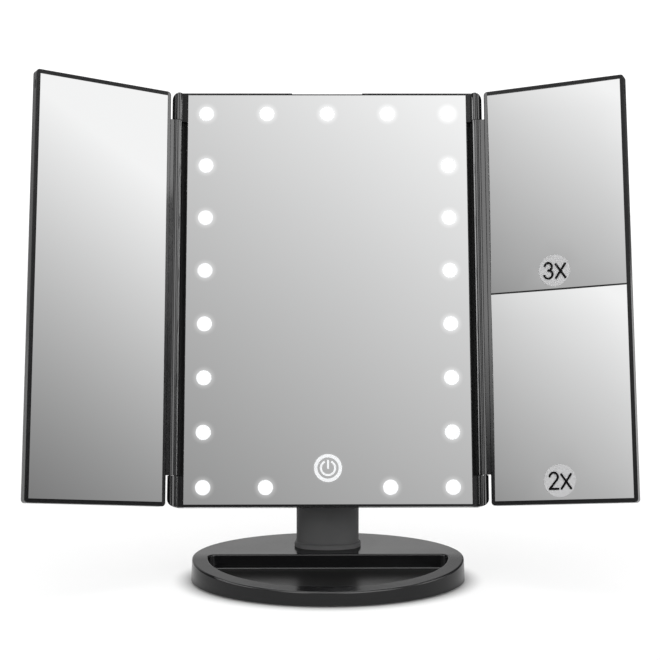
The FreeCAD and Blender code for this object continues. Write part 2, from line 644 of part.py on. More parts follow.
def over_the_top(sketch):
    """Everything above the tilt axis and outside the post's round top, seen from the side."""
    y = size("sizes.pivot_y")
    z = size("sizes.pivot_z")
    radius = size("sizes.post_deep")
    arc = Part.ArcOfCircle(Part.Circle(FreeCAD.Vector(y, z, 0), UPRIGHT, radius), 0, math.pi)
    curve = sketch.addGeometry(arc, False)
    hold(sketch, "Radius", (curve,), "sizes.post_deep")
    place(sketch, curve, 3, "sizes.pivot_y", "sizes.pivot_z")
    corners = [(f"sizes.pivot_y + {a} * sizes.post_deep", f"sizes.pivot_z + {b} * sizes.post_deep")
               for a, b in ((-2, 0), (-2, 2), (2, 2), (2, 0))]
    lines = chain_lines(sketch, curve, arc, corners)
    sketch.addConstraint(Sketcher.Constraint("Coincident", curve, 2, lines[0], 1))
    sketch.addConstraint(Sketcher.Constraint("Horizontal", lines[0]))
    sketch.addConstraint(Sketcher.Constraint("Horizontal", lines[-1]))


def closing_screw_circles(sketch, radius):
    for height in ("sizes.closing_screw_low", "sizes.closing_screw_high"):
        circle(sketch, radius, "0", height)


def post_closing_screws():
    body = new_body("post_closing_screws")
    seat = "sizes.pivot_y + sizes.post_deep - sizes.screw_sink"
    extrude(body, "heads", "XZ_Plane", seat, f"{seat} + sizes.screw_head_tall",
            lambda sketch: closing_screw_circles(sketch, "sizes.screw_head"))
    extrude(body, "shanks", "XZ_Plane", "sizes.pivot_y - sizes.screw_bite", seat,
            lambda sketch: closing_screw_circles(sketch, "sizes.screw_shank"))


def post_foot_screws():
    body = new_body("post_foot_screws")
    extrude(body, "heads", "XY_Plane", "sizes.bay_top - sizes.screw_head_tall", "sizes.bay_top",
            lambda sketch: foot_screw_circles(sketch, "sizes.screw_head"))
    extrude(body, "shanks", "XY_Plane", "sizes.bay_top", "sizes.base_top + 2 * sizes.screw_bite",
            lambda sketch: foot_screw_circles(sketch, "sizes.screw_shank"))


def tilt_pin():
    body = new_body("tilt_pin")
    extrude(body, "rod", "YZ_Plane", "-sizes.pin_half", "sizes.pin_half",
            lambda sketch: circle(sketch, "sizes.pin_radius", "sizes.pivot_y", "sizes.pivot_z"))


def friction_washers():
    body = new_body("friction_washers")
    for name, side in (("left", -1), ("right", 1)):
        inner = f"{side} * (sizes.tongue_half + sizes.washer_fit)"
        outer = f"{side} * (sizes.slot_half - sizes.washer_fit)"
        start, end = (outer, inner) if side < 0 else (inner, outer)
        extrude(body, name, "YZ_Plane", start, end, pivot_ring)


def pivot_ring(sketch):
    circle(sketch, "sizes.washer_radius", "sizes.pivot_y", "sizes.pivot_z")
    circle(sketch, "sizes.pin_radius + sizes.pin_fit", "sizes.pivot_y", "sizes.pivot_z")


# ---------------------------------------------------------------- head: casing and bracket

def head_screw_circles(sketch, radius):
    for side in SIDES:
        for index in range(3):
            circle(sketch, radius, f"{side} * sizes.head_screw_across",
                   f"sizes.head_screw_low + {index} * sizes.head_screw_pitch")


def corner_cuts(sketch, top="sizes.panel_tall"):
    """What a quarter-round of panel_corner takes off the frame's four corners."""
    for side in SIDES:
        corner_cut(sketch, side, -1, "0")
        corner_cut(sketch, side, 1, top)


def corner_cut(sketch, side, end, edge):
    reach = "sizes.hinge_across + sizes.barrel_radius"
    centre_x = f"{side} * ({reach} - sizes.panel_corner)"
    centre_z = f"{edge} - {end} * sizes.panel_corner"
    radius = size("sizes.panel_corner")
    middle = math.atan2(end, side)
    whole = Part.Circle(FreeCAD.Vector(size(centre_x), size(centre_z), 0), UPRIGHT, radius)
    arc = Part.ArcOfCircle(whole, middle - math.pi / 4, middle + math.pi / 4)
    curve = sketch.addGeometry(arc, False)
    hold(sketch, "Radius", (curve,), "sizes.panel_corner")
    place(sketch, curve, 3, centre_x, centre_z)
    far_x = f"{side} * ({reach} + sizes.panel_corner)"
    far_z = f"{edge} + {end} * sizes.panel_corner"
    corners = [(centre_x, far_z), (far_x, far_z), (far_x, centre_z)]
    if side != end:
        corners.reverse()
    lines = chain_lines(sketch, curve, arc, corners)
    sketch.addConstraint(Sketcher.Constraint("Coincident", curve, 2, lines[0], 1))
    first_kind, last_kind = ("Vertical", "Horizontal") if side == end else ("Horizontal", "Vertical")
    sketch.addConstraint(Sketcher.Constraint(first_kind, lines[0]))
    sketch.addConstraint(Sketcher.Constraint(last_kind, lines[-1]))


def knuckle_round(sketch):
    for side in SIDES:
        circle(sketch, "sizes.barrel_radius", f"{side} * sizes.hinge_across", "-sizes.hinge_front")


def knuckle_block(sketch):
    """The block under each knuckle, with the widened rim beside it."""
    for side in SIDES:
        inner = f"{side} * (sizes.hinge_across - sizes.barrel_radius)"
        outline(sketch, [
            (f"{side} * sizes.glass_half", "sizes.channel_face"),
            (f"{side} * sizes.glass_half", "-sizes.rim_proud"),
            (inner, "-sizes.rim_proud"),
            (inner, "-sizes.hinge_front"),
            (f"{side} * (sizes.hinge_across + sizes.barrel_radius)", "-sizes.hinge_front"),
            (f"{side} * (sizes.hinge_across + sizes.barrel_radius)", "sizes.parting"),
            (f"{side} * sizes.rim_half", "sizes.parting"),
            (f"{side} * sizes.rim_half", "sizes.channel_face")])


def knuckle_grooves(sketch):
    for side in SIDES:
        crest = "-(sizes.hinge_front + sizes.barrel_radius)"
        outline(sketch, [
            (f"{side} * sizes.hinge_across - sizes.groove_half", f"{crest} - sizes.groove_half"),
            (f"{side} * sizes.hinge_across + sizes.groove_half", f"{crest} - sizes.groove_half"),
            (f"{side} * sizes.hinge_across", f"{crest} + 2 * sizes.groove_half")])


def front_frame():
    body = new_body("front_frame")
    extrude(body, "plate", "XZ_Plane", "sizes.channel_face", "sizes.parting", lambda sketch: rectangle(
        sketch, "-sizes.panel_half", "sizes.panel_half", "0", "sizes.panel_tall"))
    extrude(body, "rim", "XZ_Plane", "-sizes.rim_proud", "sizes.channel_face", lambda sketch: rectangle(
        sketch, "-sizes.rim_half", "sizes.rim_half", "0", "sizes.panel_tall"))
    upper = "sizes.panel_tall - sizes.knuckle_tall"
    for name, low, high in (("lower", "0", "sizes.knuckle_tall"), ("upper", upper, "sizes.panel_tall")):
        extrude(body, f"{name}_blocks", "XY_Plane", low, high, knuckle_block)
        extrude(body, f"{name}_knuckles", "XY_Plane", low, high, knuckle_round)
    pocket(body, "knuckle_lines", "XY_Plane", "0", "sizes.panel_tall", knuckle_grooves)
    pocket(body, "round_corners", "XZ_Plane", "-sizes.rim_proud", "sizes.parting", corner_cuts)
    knuckle_top = "sizes.panel_tall - sizes.knuckle_drop"
    for name, draw in (("round_knuckles", lambda sketch: corner_cuts(sketch, knuckle_top)),
                       ("knuckle_tops", lambda sketch: rectangle(
                           sketch, "-sizes.panel_half - sizes.barrel_radius",
                           "sizes.panel_half + sizes.barrel_radius", knuckle_top, "sizes.panel_tall"))):
        pocket(body, name, "XZ_Plane", "-3 * sizes.hinge_front", "-sizes.rim_proud", draw)
    for side in SIDES:
        pocket(body, f"shadow_gap{side + 1}", "XZ_Plane", "sizes.channel_face", "sizes.gap_floor",
               lambda sketch, at=side: shadow_gap(sketch, at))
    pocket(body, "glass_seat", "XZ_Plane", "-sizes.rim_proud", "sizes.glass_thick + sizes.glass_fit",
           lambda sketch: rectangle(sketch, "-sizes.glass_half", "sizes.glass_half",
                                    "sizes.glass_low", "sizes.glass_high"))
    pocket(body, "light_opening", "XZ_Plane", "sizes.glass_thick", "sizes.parting", lambda sketch: rectangle(
        sketch, "-sizes.ledge_half", "sizes.ledge_half",
        "sizes.glass_low + sizes.ledge_inset", "sizes.glass_high - sizes.ledge_inset"))
    pocket(body, "finger_notch", "XZ_Plane", "-sizes.rim_proud", "sizes.parting", lambda sketch: rectangle(
        sketch, "-sizes.notch_half", "sizes.notch_half",
        "sizes.panel_tall - sizes.notch_deep", "sizes.panel_tall + sizes.notch_deep"))
    for name, low, high in (("lower", "sizes.hinge_pin_end", "sizes.knuckle_tall"),
                            ("upper", upper, "sizes.panel_tall - sizes.hinge_pin_end")):
        pocket(body, f"{name}_pin_holes", "XY_Plane", low, high, hinge_pin_circles)
    pocket(body, "screw_holes", "XZ_Plane", "sizes.channel_face + sizes.flat_head_tall", "sizes.parting",
           lambda sketch: head_screw_circles(sketch, "sizes.screw_shank"))
    return body


def shadow_gap(sketch, side):
    """The deep groove between the glass's rim and a wing's barrel."""
    near = "sizes.rim_half"
    far = "sizes.rim_half + sizes.gap_wide"
    rectangle(sketch, *across(side, near, far), "sizes.knuckle_tall + sizes.knuckle_gap",
              "sizes.panel_tall - sizes.knuckle_tall - sizes.knuckle_gap")


def hinge_pin_circles(sketch):
    for side in SIDES:
        circle(sketch, "sizes.hinge_pin", f"{side} * sizes.hinge_across", "-sizes.hinge_front")


def hinge_pins():
    body = new_body("hinge_pins")
    reach = "sizes.knuckle_tall + sizes.knuckle_gap + sizes.hinge_pin_in"
    extrude(body, "lower", "XY_Plane", "sizes.hinge_pin_end", reach, hinge_pin_circles)
    extrude(body, "upper", "XY_Plane", f"sizes.panel_tall - ({reach})",
            "sizes.panel_tall - sizes.hinge_pin_end", hinge_pin_circles)
    return body


def panel_edges(edge):
    """The rear shell's outline on its back face."""
    return lies_at(edge, "Y", size("sizes.shell_back"))


def switch_rectangle(sketch, half_long, half_tall):
    rectangle(sketch, f"sizes.switch_across - ({half_long})", f"sizes.switch_across + ({half_long})",
              f"sizes.switch_up - ({half_tall})", f"sizes.switch_up + ({half_tall})")


def knob_track(sketch):
    """The room that the switch knob needs over its travel."""
    switch_rectangle(sketch, "sizes.knob_half + sizes.switch_travel / 2 + sizes.door_fit",
                     "sizes.knob_tall + sizes.door_fit")


def socket_rectangle(sketch, half_wide, half_tall):
    rectangle(sketch, f"sizes.socket_across - ({half_wide})", f"sizes.socket_across + ({half_wide})",
              f"sizes.switch_up - ({half_tall})", f"sizes.switch_up + ({half_tall})")


def rear_shell():
    body = new_body("rear_shell")
    inner_back = "sizes.shell_back - sizes.shell_wall"
    extrude(body, "casing", "XZ_Plane", "sizes.parting", "sizes.shell_back", lambda sketch: rectangle(
        sketch, "-sizes.panel_half", "sizes.panel_half", "0", "sizes.panel_tall"))
    fillet(body, "corners", "sizes.panel_corner", lambda edge: runs_along(edge, "Y"))
    fillet(body, "back_round", "sizes.panel_round", panel_edges)
    extrude(body, "battery_bulge", "XZ_Plane", inner_back, "sizes.bulge_back", lambda sketch: rectangle(
        sketch, "-sizes.bulge_half", "sizes.bulge_half", "sizes.bulge_low", "sizes.bulge_high"))
    fillet(body, "bulge_corners", "sizes.panel_round", lambda edge: runs_along(edge, "Y")
           and edge.BoundBox.YMin > size("sizes.shell_back") - 0.01)
    fillet(body, "bulge_round", "sizes.wing_round", lambda edge: lies_at(edge, "Y", size("sizes.bulge_back")))
    pocket(body, "inside", "XZ_Plane", "sizes.parting", inner_back, lambda sketch: rectangle(
        sketch, "-(sizes.panel_half - sizes.shell_wall)", "sizes.panel_half - sizes.shell_wall",
        "sizes.shell_wall", "sizes.panel_tall - sizes.shell_wall"))
    pocket(body, "battery_bay", "XZ_Plane", inner_back, "sizes.bulge_back", lambda sketch: battery_rectangle(
        sketch, "sizes.glass_fit"))
    pocket(body, "door_seat", "XZ_Plane", "sizes.bulge_back - sizes.door_thick", "sizes.bulge_back",
           lambda sketch: door_rectangle(sketch, "sizes.door_fit"))
    extrude(body, "bosses", "XZ_Plane", "sizes.parting", inner_back,
            lambda sketch: head_screw_circles(sketch, "sizes.boss_radius"))
    pocket(body, "screw_holes", "XZ_Plane", "sizes.parting", "sizes.shell_back",
           lambda sketch: head_screw_circles(sketch, "sizes.screw_hole"))
    pocket(body, "screw_recesses", "XZ_Plane", "sizes.shell_back - sizes.screw_sink", "sizes.shell_back",
           lambda sketch: head_screw_circles(sketch, "sizes.screw_head_hole"))
    pocket(body, "tongue_hole", "XZ_Plane", inner_back, "sizes.shell_back", lambda sketch: rectangle(
        sketch, "-(sizes.tongue_half + sizes.door_fit)", "sizes.tongue_half + sizes.door_fit",
        "sizes.pivot_up - sizes.tongue_radius - sizes.door_fit",
        "sizes.pivot_up + sizes.tongue_radius + sizes.door_fit"))
    pocket(body, "switch_slot", "XZ_Plane", inner_back, "sizes.shell_back", knob_track)
    pocket(body, "socket_hole", "XZ_Plane", inner_back, "sizes.shell_back", lambda sketch: socket_rectangle(
        sketch, "sizes.socket_half + sizes.glass_fit", "sizes.socket_tall + sizes.glass_fit"))
    return body


def head_screws():
    body = new_body("head_screws")
    seat = "sizes.shell_back - sizes.screw_sink"
    extrude(body, "heads", "XZ_Plane", seat, f"{seat} + sizes.screw_head_tall",
            lambda sketch: head_screw_circles(sketch, "sizes.screw_head"))
    extrude(body, "shanks", "XZ_Plane", "sizes.channel_face + sizes.flat_head_tall", seat,
            lambda sketch: head_screw_circles(sketch, "sizes.screw_shank"))
    return body


def bracket_screw_circles(sketch, radius):
    for x, z in four_corners("sizes.bracket_screw_across", "sizes.bracket_screw_along"):
        circle(sketch, radius, x, f"sizes.pivot_up + {z}")


def tilt_bracket():
    """A flange screwed inside the rear shell, with a tongue that reaches back to the tilt axis."""
    body = new_body("tilt_bracket")
    inner_back = "sizes.shell_back - sizes.shell_wall"
    extrude(body, "flange", "XZ_Plane", f"{inner_back} - sizes.flange_thick", inner_back,
            lambda sketch: rectangle(sketch, "-sizes.flange_half", "sizes.flange_half",
                                     "sizes.pivot_up - sizes.flange_tall",
                                     "sizes.pivot_up + sizes.flange_tall"))
    extrude(body, "tongue", "YZ_Plane", "-sizes.tongue_half", "sizes.tongue_half", lambda sketch: rectangle(
        sketch, inner_back, "sizes.pivot_back",
        "sizes.pivot_up - sizes.tongue_radius", "sizes.pivot_up + sizes.tongue_radius"))
    extrude(body, "round_end", "YZ_Plane", "-sizes.tongue_half", "sizes.tongue_half",
            lambda sketch: circle(sketch, "sizes.tongue_radius", "sizes.pivot_back", "sizes.pivot_up"))
    pocket(body, "bore", "YZ_Plane", "-sizes.tongue_half", "sizes.tongue_half", lambda sketch: circle(
        sketch, "sizes.pin_radius + sizes.pin_fit", "sizes.pivot_back", "sizes.pivot_up"))
    pocket(body, "screw_holes", "XZ_Plane", f"{inner_back} - sizes.flange_thick", inner_back,
           lambda sketch: bracket_screw_circles(sketch, "sizes.screw_shank"))
    return body


def bracket_screws():
    body = new_body("bracket_screws")
    face = "sizes.shell_back - sizes.shell_wall - sizes.flange_thick"
    extrude(body, "heads", "XZ_Plane", f"{face} - sizes.screw_head_tall", face,
            lambda sketch: bracket_screw_circles(sketch, "sizes.screw_head"))
    extrude(body, "shanks", "XZ_Plane", face, f"{face} + sizes.flange_thick",
            lambda sketch: bracket_screw_circles(sketch, "sizes.screw_shank"))
    return body


# ---------------------------------------------------------------- head: glass and lights

DOT_ROWS = 8
DOT_HIGH = f"sizes.dot_low + {DOT_ROWS - 1} * sizes.dot_pitch"


def dot_centres():
    """Formulas for the light positions: eight down each side, three above, two below."""
    for side in SIDES:
        for index in range(DOT_ROWS):
            yield f"{side} * sizes.dot_across", f"sizes.dot_low + {index} * sizes.dot_pitch"
    for index in (-1, 0, 1):
        yield f"{index} * sizes.dot_row_pitch", DOT_HIGH
    for index in SIDES:
        yield f"{index} * sizes.dot_row_pitch", "sizes.dot_low"


def dots(sketch, radius):
    for x, z in dot_centres():
        circle(sketch, radius, x, z)


def touch_marks(sketch, fit):
    """The glowing ring with a power symbol inside, drawn smaller by fit all round."""
    circle(sketch, f"sizes.ring_outer - {fit}", "0", "sizes.ring_height")
    circle(sketch, f"sizes.ring_inner + {fit}", "0", "sizes.ring_height")
    symbol_arc(sketch, f"sizes.symbol_outer - {fit}", f"sizes.symbol_inner + {fit}")
    rectangle(sketch, f"-(sizes.symbol_bar - {fit})", f"sizes.symbol_bar - {fit}",
              f"sizes.ring_height - sizes.symbol_bar_low + {fit}",
              f"sizes.ring_height + sizes.symbol_outer - {fit}")


def symbol_arc(sketch, outer, inner):
    """A ring open at the top."""
    gap = math.radians(size("sizes.symbol_gap"))
    start = math.pi / 2 + gap
    end = math.pi / 2 - gap + 2 * math.pi
    centre = FreeCAD.Vector(0, size("sizes.ring_height"), 0)
    curves = []
    for radius in (outer, inner):
        whole = Part.Circle(centre, UPRIGHT, size(radius))
        curve = sketch.addGeometry(Part.ArcOfCircle(whole, start, end), False)
        hold(sketch, "Radius", (curve,), radius)
        place(sketch, curve, 3, "0", "sizes.ring_height")
        for point, sign in ((1, -1), (2, 1)):
            hold(sketch, "DistanceX", (-1, 1, curve, point),
                 f"{sign} * ({radius}) * sin(sizes.symbol_gap * 1 deg)")
        curves.append(curve)
    for point in (1, 2):
        ends = [sketch.getPoint(curve, point) for curve in curves]
        line = sketch.addGeometry(Part.LineSegment(*ends), False)
        sketch.addConstraint(Sketcher.Constraint("Coincident", curves[0], point, line, 1))
        sketch.addConstraint(Sketcher.Constraint("Coincident", line, 2, curves[1], point))


def centre_mirror():
    body = new_body("centre_mirror")
    extrude(body, "glass", "XZ_Plane", "0", "sizes.glass_thick", lambda sketch: rectangle(
        sketch, "-(sizes.glass_half - sizes.glass_fit)", "sizes.glass_half - sizes.glass_fit",
        "sizes.glass_low + sizes.glass_fit", "sizes.glass_high - sizes.glass_fit"))
    pocket(body, "light_windows", "XZ_Plane", "0", "sizes.window_deep",
           lambda sketch: dots(sketch, "sizes.dot_radius"))
    pocket(body, "touch_window", "XZ_Plane", "0", "sizes.window_deep",
           lambda sketch: touch_marks(sketch, "0"))
    return body


def light_windows():
    body = new_body("light_windows")
    extrude(body, "discs", "XZ_Plane", "0", "sizes.window_deep",
            lambda sketch: dots(sketch, "sizes.dot_radius - sizes.window_fit"))
    return body


def touch_ring():
    body = new_body("touch_ring")
    extrude(body, "marks", "XZ_Plane", "0", "sizes.window_deep",
            lambda sketch: touch_marks(sketch, "sizes.window_fit"))
    return body


def reflector():
    body = new_body("reflector")
    extrude(body, "sheet", "XZ_Plane", "sizes.glass_thick + sizes.glass_fit", "sizes.parting",
            lambda sketch: rectangle(
                sketch, "-(sizes.ledge_half - sizes.glass_fit)", "sizes.ledge_half - sizes.glass_fit",
                "sizes.glass_low + sizes.ledge_inset + sizes.glass_fit",
                "sizes.glass_high - sizes.ledge_inset - sizes.glass_fit"))
    pocket(body, "light_holes", "XZ_Plane", "sizes.glass_thick", "sizes.parting",
           lambda sketch: dots(sketch, "sizes.dot_radius"))
    pocket(body, "touch_hole", "XZ_Plane", "sizes.glass_thick", "sizes.parting",
           lambda sketch: circle(sketch, "sizes.dot_radius", "0", "sizes.ring_height"))
    return body


def board(label, left, right, low, high, front="sizes.parting"):
    body = new_body(label)
    extrude(body, "board", "XZ_Plane", front, f"{front} + sizes.board_thick",
            lambda sketch: rectangle(sketch, left, right, low, high))
    return body


def light_strips():
    """One circuit board down each side and one along the top and the bottom."""
    strips = []
    for name, side in (("left", -1), ("right", 1)):
        middle = f"{side} * sizes.dot_across"
        strips.append(board(f"light_strip_{name}",
                            f"{middle} - sizes.strip_half", f"{middle} + sizes.strip_half",
                            "sizes.dot_low - sizes.strip_half", f"{DOT_HIGH} + sizes.strip_half"))
    end = "sizes.dot_across - sizes.strip_half - sizes.door_fit"
    for name, middle in (("bottom", "sizes.dot_low"), ("top", DOT_HIGH)):
        strips.append(board(f"light_strip_{name}", f"-({end})", end,
                            f"{middle} - sizes.strip_half", f"{middle} + sizes.strip_half"))
    return strips


def light_chips():
    body = new_body("light_chips")
    extrude(body, "chips", "XZ_Plane", "sizes.parting - sizes.chip_thick", "sizes.parting", chip_squares)
    return body


def chip_squares(sketch):
    for x, z in dot_centres():
        rectangle(sketch, f"{x} - sizes.chip_half", f"{x} + sizes.chip_half",
                  f"{z} - sizes.chip_half", f"{z} + sizes.chip_half")


def touch_pad():
    body = new_body("touch_pad")
    extrude(body, "pad", "XZ_Plane", "sizes.glass_thick", "sizes.parting", lambda sketch: circle(
        sketch, "sizes.dot_radius - sizes.window_fit", "0", "sizes.ring_height"))
    return body


def main_board_parts():
    """A controller chip and three cylinder capacitors on the front of the main board."""
    body = new_body("main_board_parts")
    face = "sizes.main_front"
    extrude(body, "chip", "XZ_Plane", f"{face} - sizes.controller_thick", face, lambda sketch: rectangle(
        sketch, "sizes.main_left + sizes.controller_in", "sizes.main_left + 2 * sizes.controller_in",
        "sizes.main_low + sizes.controller_in", "sizes.main_low + 2 * sizes.controller_in"))
    extrude(body, "capacitors", "XZ_Plane", f"{face} - sizes.capacitor_long", face, capacitor_circles)
    return body


def capacitor_circles(sketch):
    for index in range(3):
        circle(sketch, "sizes.capacitor_radius", "sizes.main_right - sizes.controller_in",
               f"sizes.main_low + {index + 1} * sizes.controller_in")


def switch_body():
    body = new_body("switch_body")
    inner_back = "sizes.shell_back - sizes.shell_wall"
    extrude(body, "case", "XZ_Plane", "sizes.main_front + sizes.board_thick", inner_back,
            lambda sketch: switch_rectangle(sketch, "3 * sizes.knob_half", "2 * sizes.knob_tall"))
    pocket(body, "track", "XZ_Plane", f"{inner_back} - sizes.knob_in", inner_back, knob_track)
    return body


def switch_knob():
    """At rest the knob is at the ON end, towards +x."""
    body = new_body("switch_knob")
    middle = "sizes.switch_across + sizes.switch_travel / 2"
    back = "sizes.shell_back + sizes.knob_out"
    front = "sizes.shell_back - sizes.shell_wall - sizes.knob_in + sizes.door_fit"
    extrude(body, "knob", "XZ_Plane", front, back, lambda sketch: rectangle(
        sketch, f"{middle} - sizes.knob_half", f"{middle} + sizes.knob_half",
        "sizes.switch_up - sizes.knob_tall", "sizes.switch_up + sizes.knob_tall"))
    pocket(body, "grip", "XZ_Plane", f"{back} - sizes.window_deep", back,
           lambda sketch: grip_grooves(sketch, middle))
    return body


def grip_grooves(sketch, middle):
    for index in (-1, 0, 1):
        centre = f"{middle} + {index} * sizes.knob_half / 2"
        rectangle(sketch, f"{centre} - sizes.groove_half / 2", f"{centre} + sizes.groove_half / 2",
                  "sizes.switch_up - sizes.knob_tall", "sizes.switch_up + sizes.knob_tall")


def charging_socket():
    body = new_body("charging_socket")
    extrude(body, "sleeve", "XZ_Plane", "sizes.charge_front + sizes.board_thick", "sizes.shell_back",
            lambda sketch: socket_rectangle(sketch, "sizes.socket_half", "sizes.socket_tall"))
    pocket(body, "mouth", "XZ_Plane", "sizes.charge_front + 2 * sizes.board_thick", "sizes.shell_back",
           lambda sketch: socket_rectangle(sketch, "sizes.socket_half - sizes.contact_thick",
                                           "sizes.socket_tall - sizes.contact_thick"))
    return body


def socket_tongue():
    body = new_body("socket_tongue")
    extrude(body, "tongue", "XZ_Plane", "sizes.charge_front + 2 * sizes.board_thick",
            "sizes.shell_back - sizes.board_thick",
            lambda sketch: socket_rectangle(sketch, "sizes.socket_half / 2", "sizes.contact_thick / 2"))
    return body


# ---------------------------------------------------------------- head: batteries

def battery_rectangle(sketch, fit):
    rectangle(sketch, f"-(sizes.tray_half + {fit})", f"sizes.tray_half + {fit}",
              f"sizes.tray_low - {fit}", f"sizes.tray_high + {fit}")


def door_rectangle(sketch, fit):
    rectangle(sketch, f"-(sizes.door_half + {fit})", f"sizes.door_half + {fit}",
              f"sizes.door_low - {fit}", f"sizes.door_high + {fit}")


def battery_tray():
    body = new_body("battery_tray")
    back = "sizes.bulge_back - sizes.door_thick"
    extrude(body, "block", "XZ_Plane", "sizes.tray_front", back,
            lambda sketch: battery_rectangle(sketch, "0"))
    pocket(body, "bay", "XZ_Plane", "sizes.tray_front + sizes.tray_wall", back,
           lambda sketch: battery_rectangle(sketch, "-sizes.tray_wall"))
    return body


def cell_centres():
    """Across the tray; each battery points the other way from its neighbour."""
    for index in range(4):
        yield index % 2 == 0, f"{index - 1.5} * sizes.cell_pitch"


CELL_AXIS = "sizes.tray_front + sizes.tray_wall + sizes.cell_radius"
TRAY_INNER_LOW = "sizes.tray_low + sizes.tray_wall"
TRAY_INNER_HIGH = "sizes.tray_high - sizes.tray_wall"


def cell_circles(sketch, upward, radius):
    for points_up, x in cell_centres():
        if points_up == upward:
            circle(sketch, radius, x, CELL_AXIS)


def batteries():
    body = new_body("batteries")
    for name, upward, sign in (("up", True, -1), ("down", False, 1)):
        wall = TRAY_INNER_HIGH if upward else TRAY_INNER_LOW
        tip = f"{wall} + {sign} * sizes.contact_thick"
        shoulder = f"{tip} + {sign} * sizes.nub_tall"
        end = f"{shoulder} + {sign} * sizes.cell_long"
        low, high = (end, shoulder) if upward else (shoulder, end)
        extrude(body, f"{name}_cells", "XY_Plane", low, high,
                lambda sketch, upward=upward: cell_circles(sketch, upward, "sizes.cell_radius"))
        low, high = (shoulder, tip) if upward else (tip, shoulder)
        extrude(body, f"{name}_nubs", "XY_Plane", low, high,
                lambda sketch, upward=upward: cell_circles(sketch, upward, "sizes.nub_radius"))
    return body


def battery_contacts():
    """A thin plate at each end of each battery, with a spring cone at the negative ends."""
    body = new_body("battery_contacts")
    ends = (("low", TRAY_INNER_LOW, f"{TRAY_INNER_LOW} + sizes.contact_thick"),
            ("high", f"{TRAY_INNER_HIGH} - sizes.contact_thick", TRAY_INNER_HIGH))
    for name, low, high in ends:
        extrude(body, f"{name}_plates", "XY_Plane", low, high, contact_squares)
    gap = f"{TRAY_INNER_HIGH} - sizes.contact_thick - sizes.nub_tall - sizes.cell_long"
    extrude(body, "low_springs", "XY_Plane", f"{TRAY_INNER_LOW} + sizes.contact_thick", gap,
            lambda sketch: cell_circles(sketch, True, "sizes.nub_radius"))
    rise = f"{TRAY_INNER_LOW} + sizes.contact_thick + sizes.nub_tall + sizes.cell_long"
    extrude(body, "high_springs", "XY_Plane", rise, f"{TRAY_INNER_HIGH} - sizes.contact_thick",
            lambda sketch: cell_circles(sketch, False, "sizes.nub_radius"))
    return body


def contact_squares(sketch):
    for _, x in cell_centres():
        rectangle(sketch, f"{x} - sizes.contact_half", f"{x} + sizes.contact_half",
                  f"{CELL_AXIS} - sizes.contact_half", f"{CELL_AXIS} + sizes.contact_half")


def battery_door():
    body = new_body("battery_door")
    face = "sizes.bulge_back"
    extrude(body, "plate", "XZ_Plane", f"{face} - sizes.door_thick + sizes.glass_fit", face,
            lambda sketch: door_rectangle(sketch, "0"))
    pocket(body, "thumb_grooves", "XZ_Plane", f"{face} - sizes.window_deep", face, thumb_grooves)
    return body


def thumb_grooves(sketch):
    for index in range(4):
        low = f"sizes.door_high - {index + 2} * sizes.thumb_pitch"
        rectangle(sketch, "-sizes.thumb_half", "sizes.thumb_half", low, f"{low} + sizes.thumb_pitch / 2")


# ---------------------------------------------------------------- wings

def across(side, near, far):
    """Left and right limits of a span measured outward from a hinge axis."""
    return (near, far) if side > 0 else (f"-({far})", f"-({near})")


def wing_rectangle(sketch, side, near="sizes.wing_near", far="sizes.wing_far",
                   low="sizes.wing_low", high="sizes.wing_high"):
    rectangle(sketch, *across(side, near, far), low, high)


MIDDLE_LOW = "(sizes.wing_glass_low + sizes.wing_glass_high) / 2 - sizes.divider_half"
MIDDLE_HIGH = "(sizes.wing_glass_low + sizes.wing_glass_high) / 2 + sizes.divider_half"
WHOLE_PANE = [("sizes.wing_glass_low", "sizes.wing_glass_high")]
TWO_PANES = [("sizes.wing_glass_low", MIDDLE_LOW), (MIDDLE_HIGH, "sizes.wing_glass_high")]
SEAT_FLOOR = "sizes.wing_glass_thick - sizes.wing_glass_face"


def wing_frame(label, side, panes):
    body = new_body(label)
    extrude(body, "slab", "XZ_Plane", "-sizes.wing_face", "sizes.wing_parting",
            lambda sketch: wing_rectangle(sketch, side))
    fillet(body, "corners", "sizes.wing_corner", lambda edge: runs_along(edge, "Y"))
    chamfer(body, "face_edge", "sizes.bevel", lambda edge: lies_at(edge, "Y", -size("sizes.wing_face")))
    low = "sizes.knuckle_tall + sizes.knuckle_gap"
    high = "sizes.panel_tall - sizes.knuckle_tall - sizes.knuckle_gap"
    web_end = "sizes.wing_near + sizes.wing_corner"
    extrude(body, "web", "XY_Plane", low, high, lambda sketch: rectangle(
        sketch, *across(side, "0", web_end), "-sizes.web_face", "sizes.wing_parting"))
    extrude(body, "barrel", "XY_Plane", low, high, lambda sketch: circle(sketch, "sizes.barrel_radius"))
    for index, (pane_low, pane_high) in enumerate(panes):
        pocket(body, f"glass_seat{index}", "XZ_Plane", "-sizes.wing_face", SEAT_FLOOR,
               lambda sketch, a=pane_low, b=pane_high: wing_rectangle(
                   sketch, side, "sizes.wing_glass_near", "sizes.wing_glass_far", a, b))
    pin_room = "sizes.hinge_pin_in + sizes.knuckle_gap"
    for name, start, end in (("lower", low, f"{low} + {pin_room}"),
                             ("upper", f"{high} - ({pin_room})", high)):
        pocket(body, f"{name}_pin_hole", "XY_Plane", start, end,
               lambda sketch: circle(sketch, "sizes.hinge_pin + sizes.pin_fit"))
    pocket(body, "side_slot", "XZ_Plane", "-sizes.slot_wide / 2", "sizes.slot_wide / 2",
           lambda sketch: wing_rectangle(sketch, side, "sizes.wing_far - sizes.slot_depth",
                                         "sizes.wing_far + sizes.slot_depth",
                                         "sizes.wing_high - sizes.slot_drop",
                                         "sizes.wing_high - sizes.slot_drop + sizes.slot_long"))
    return body


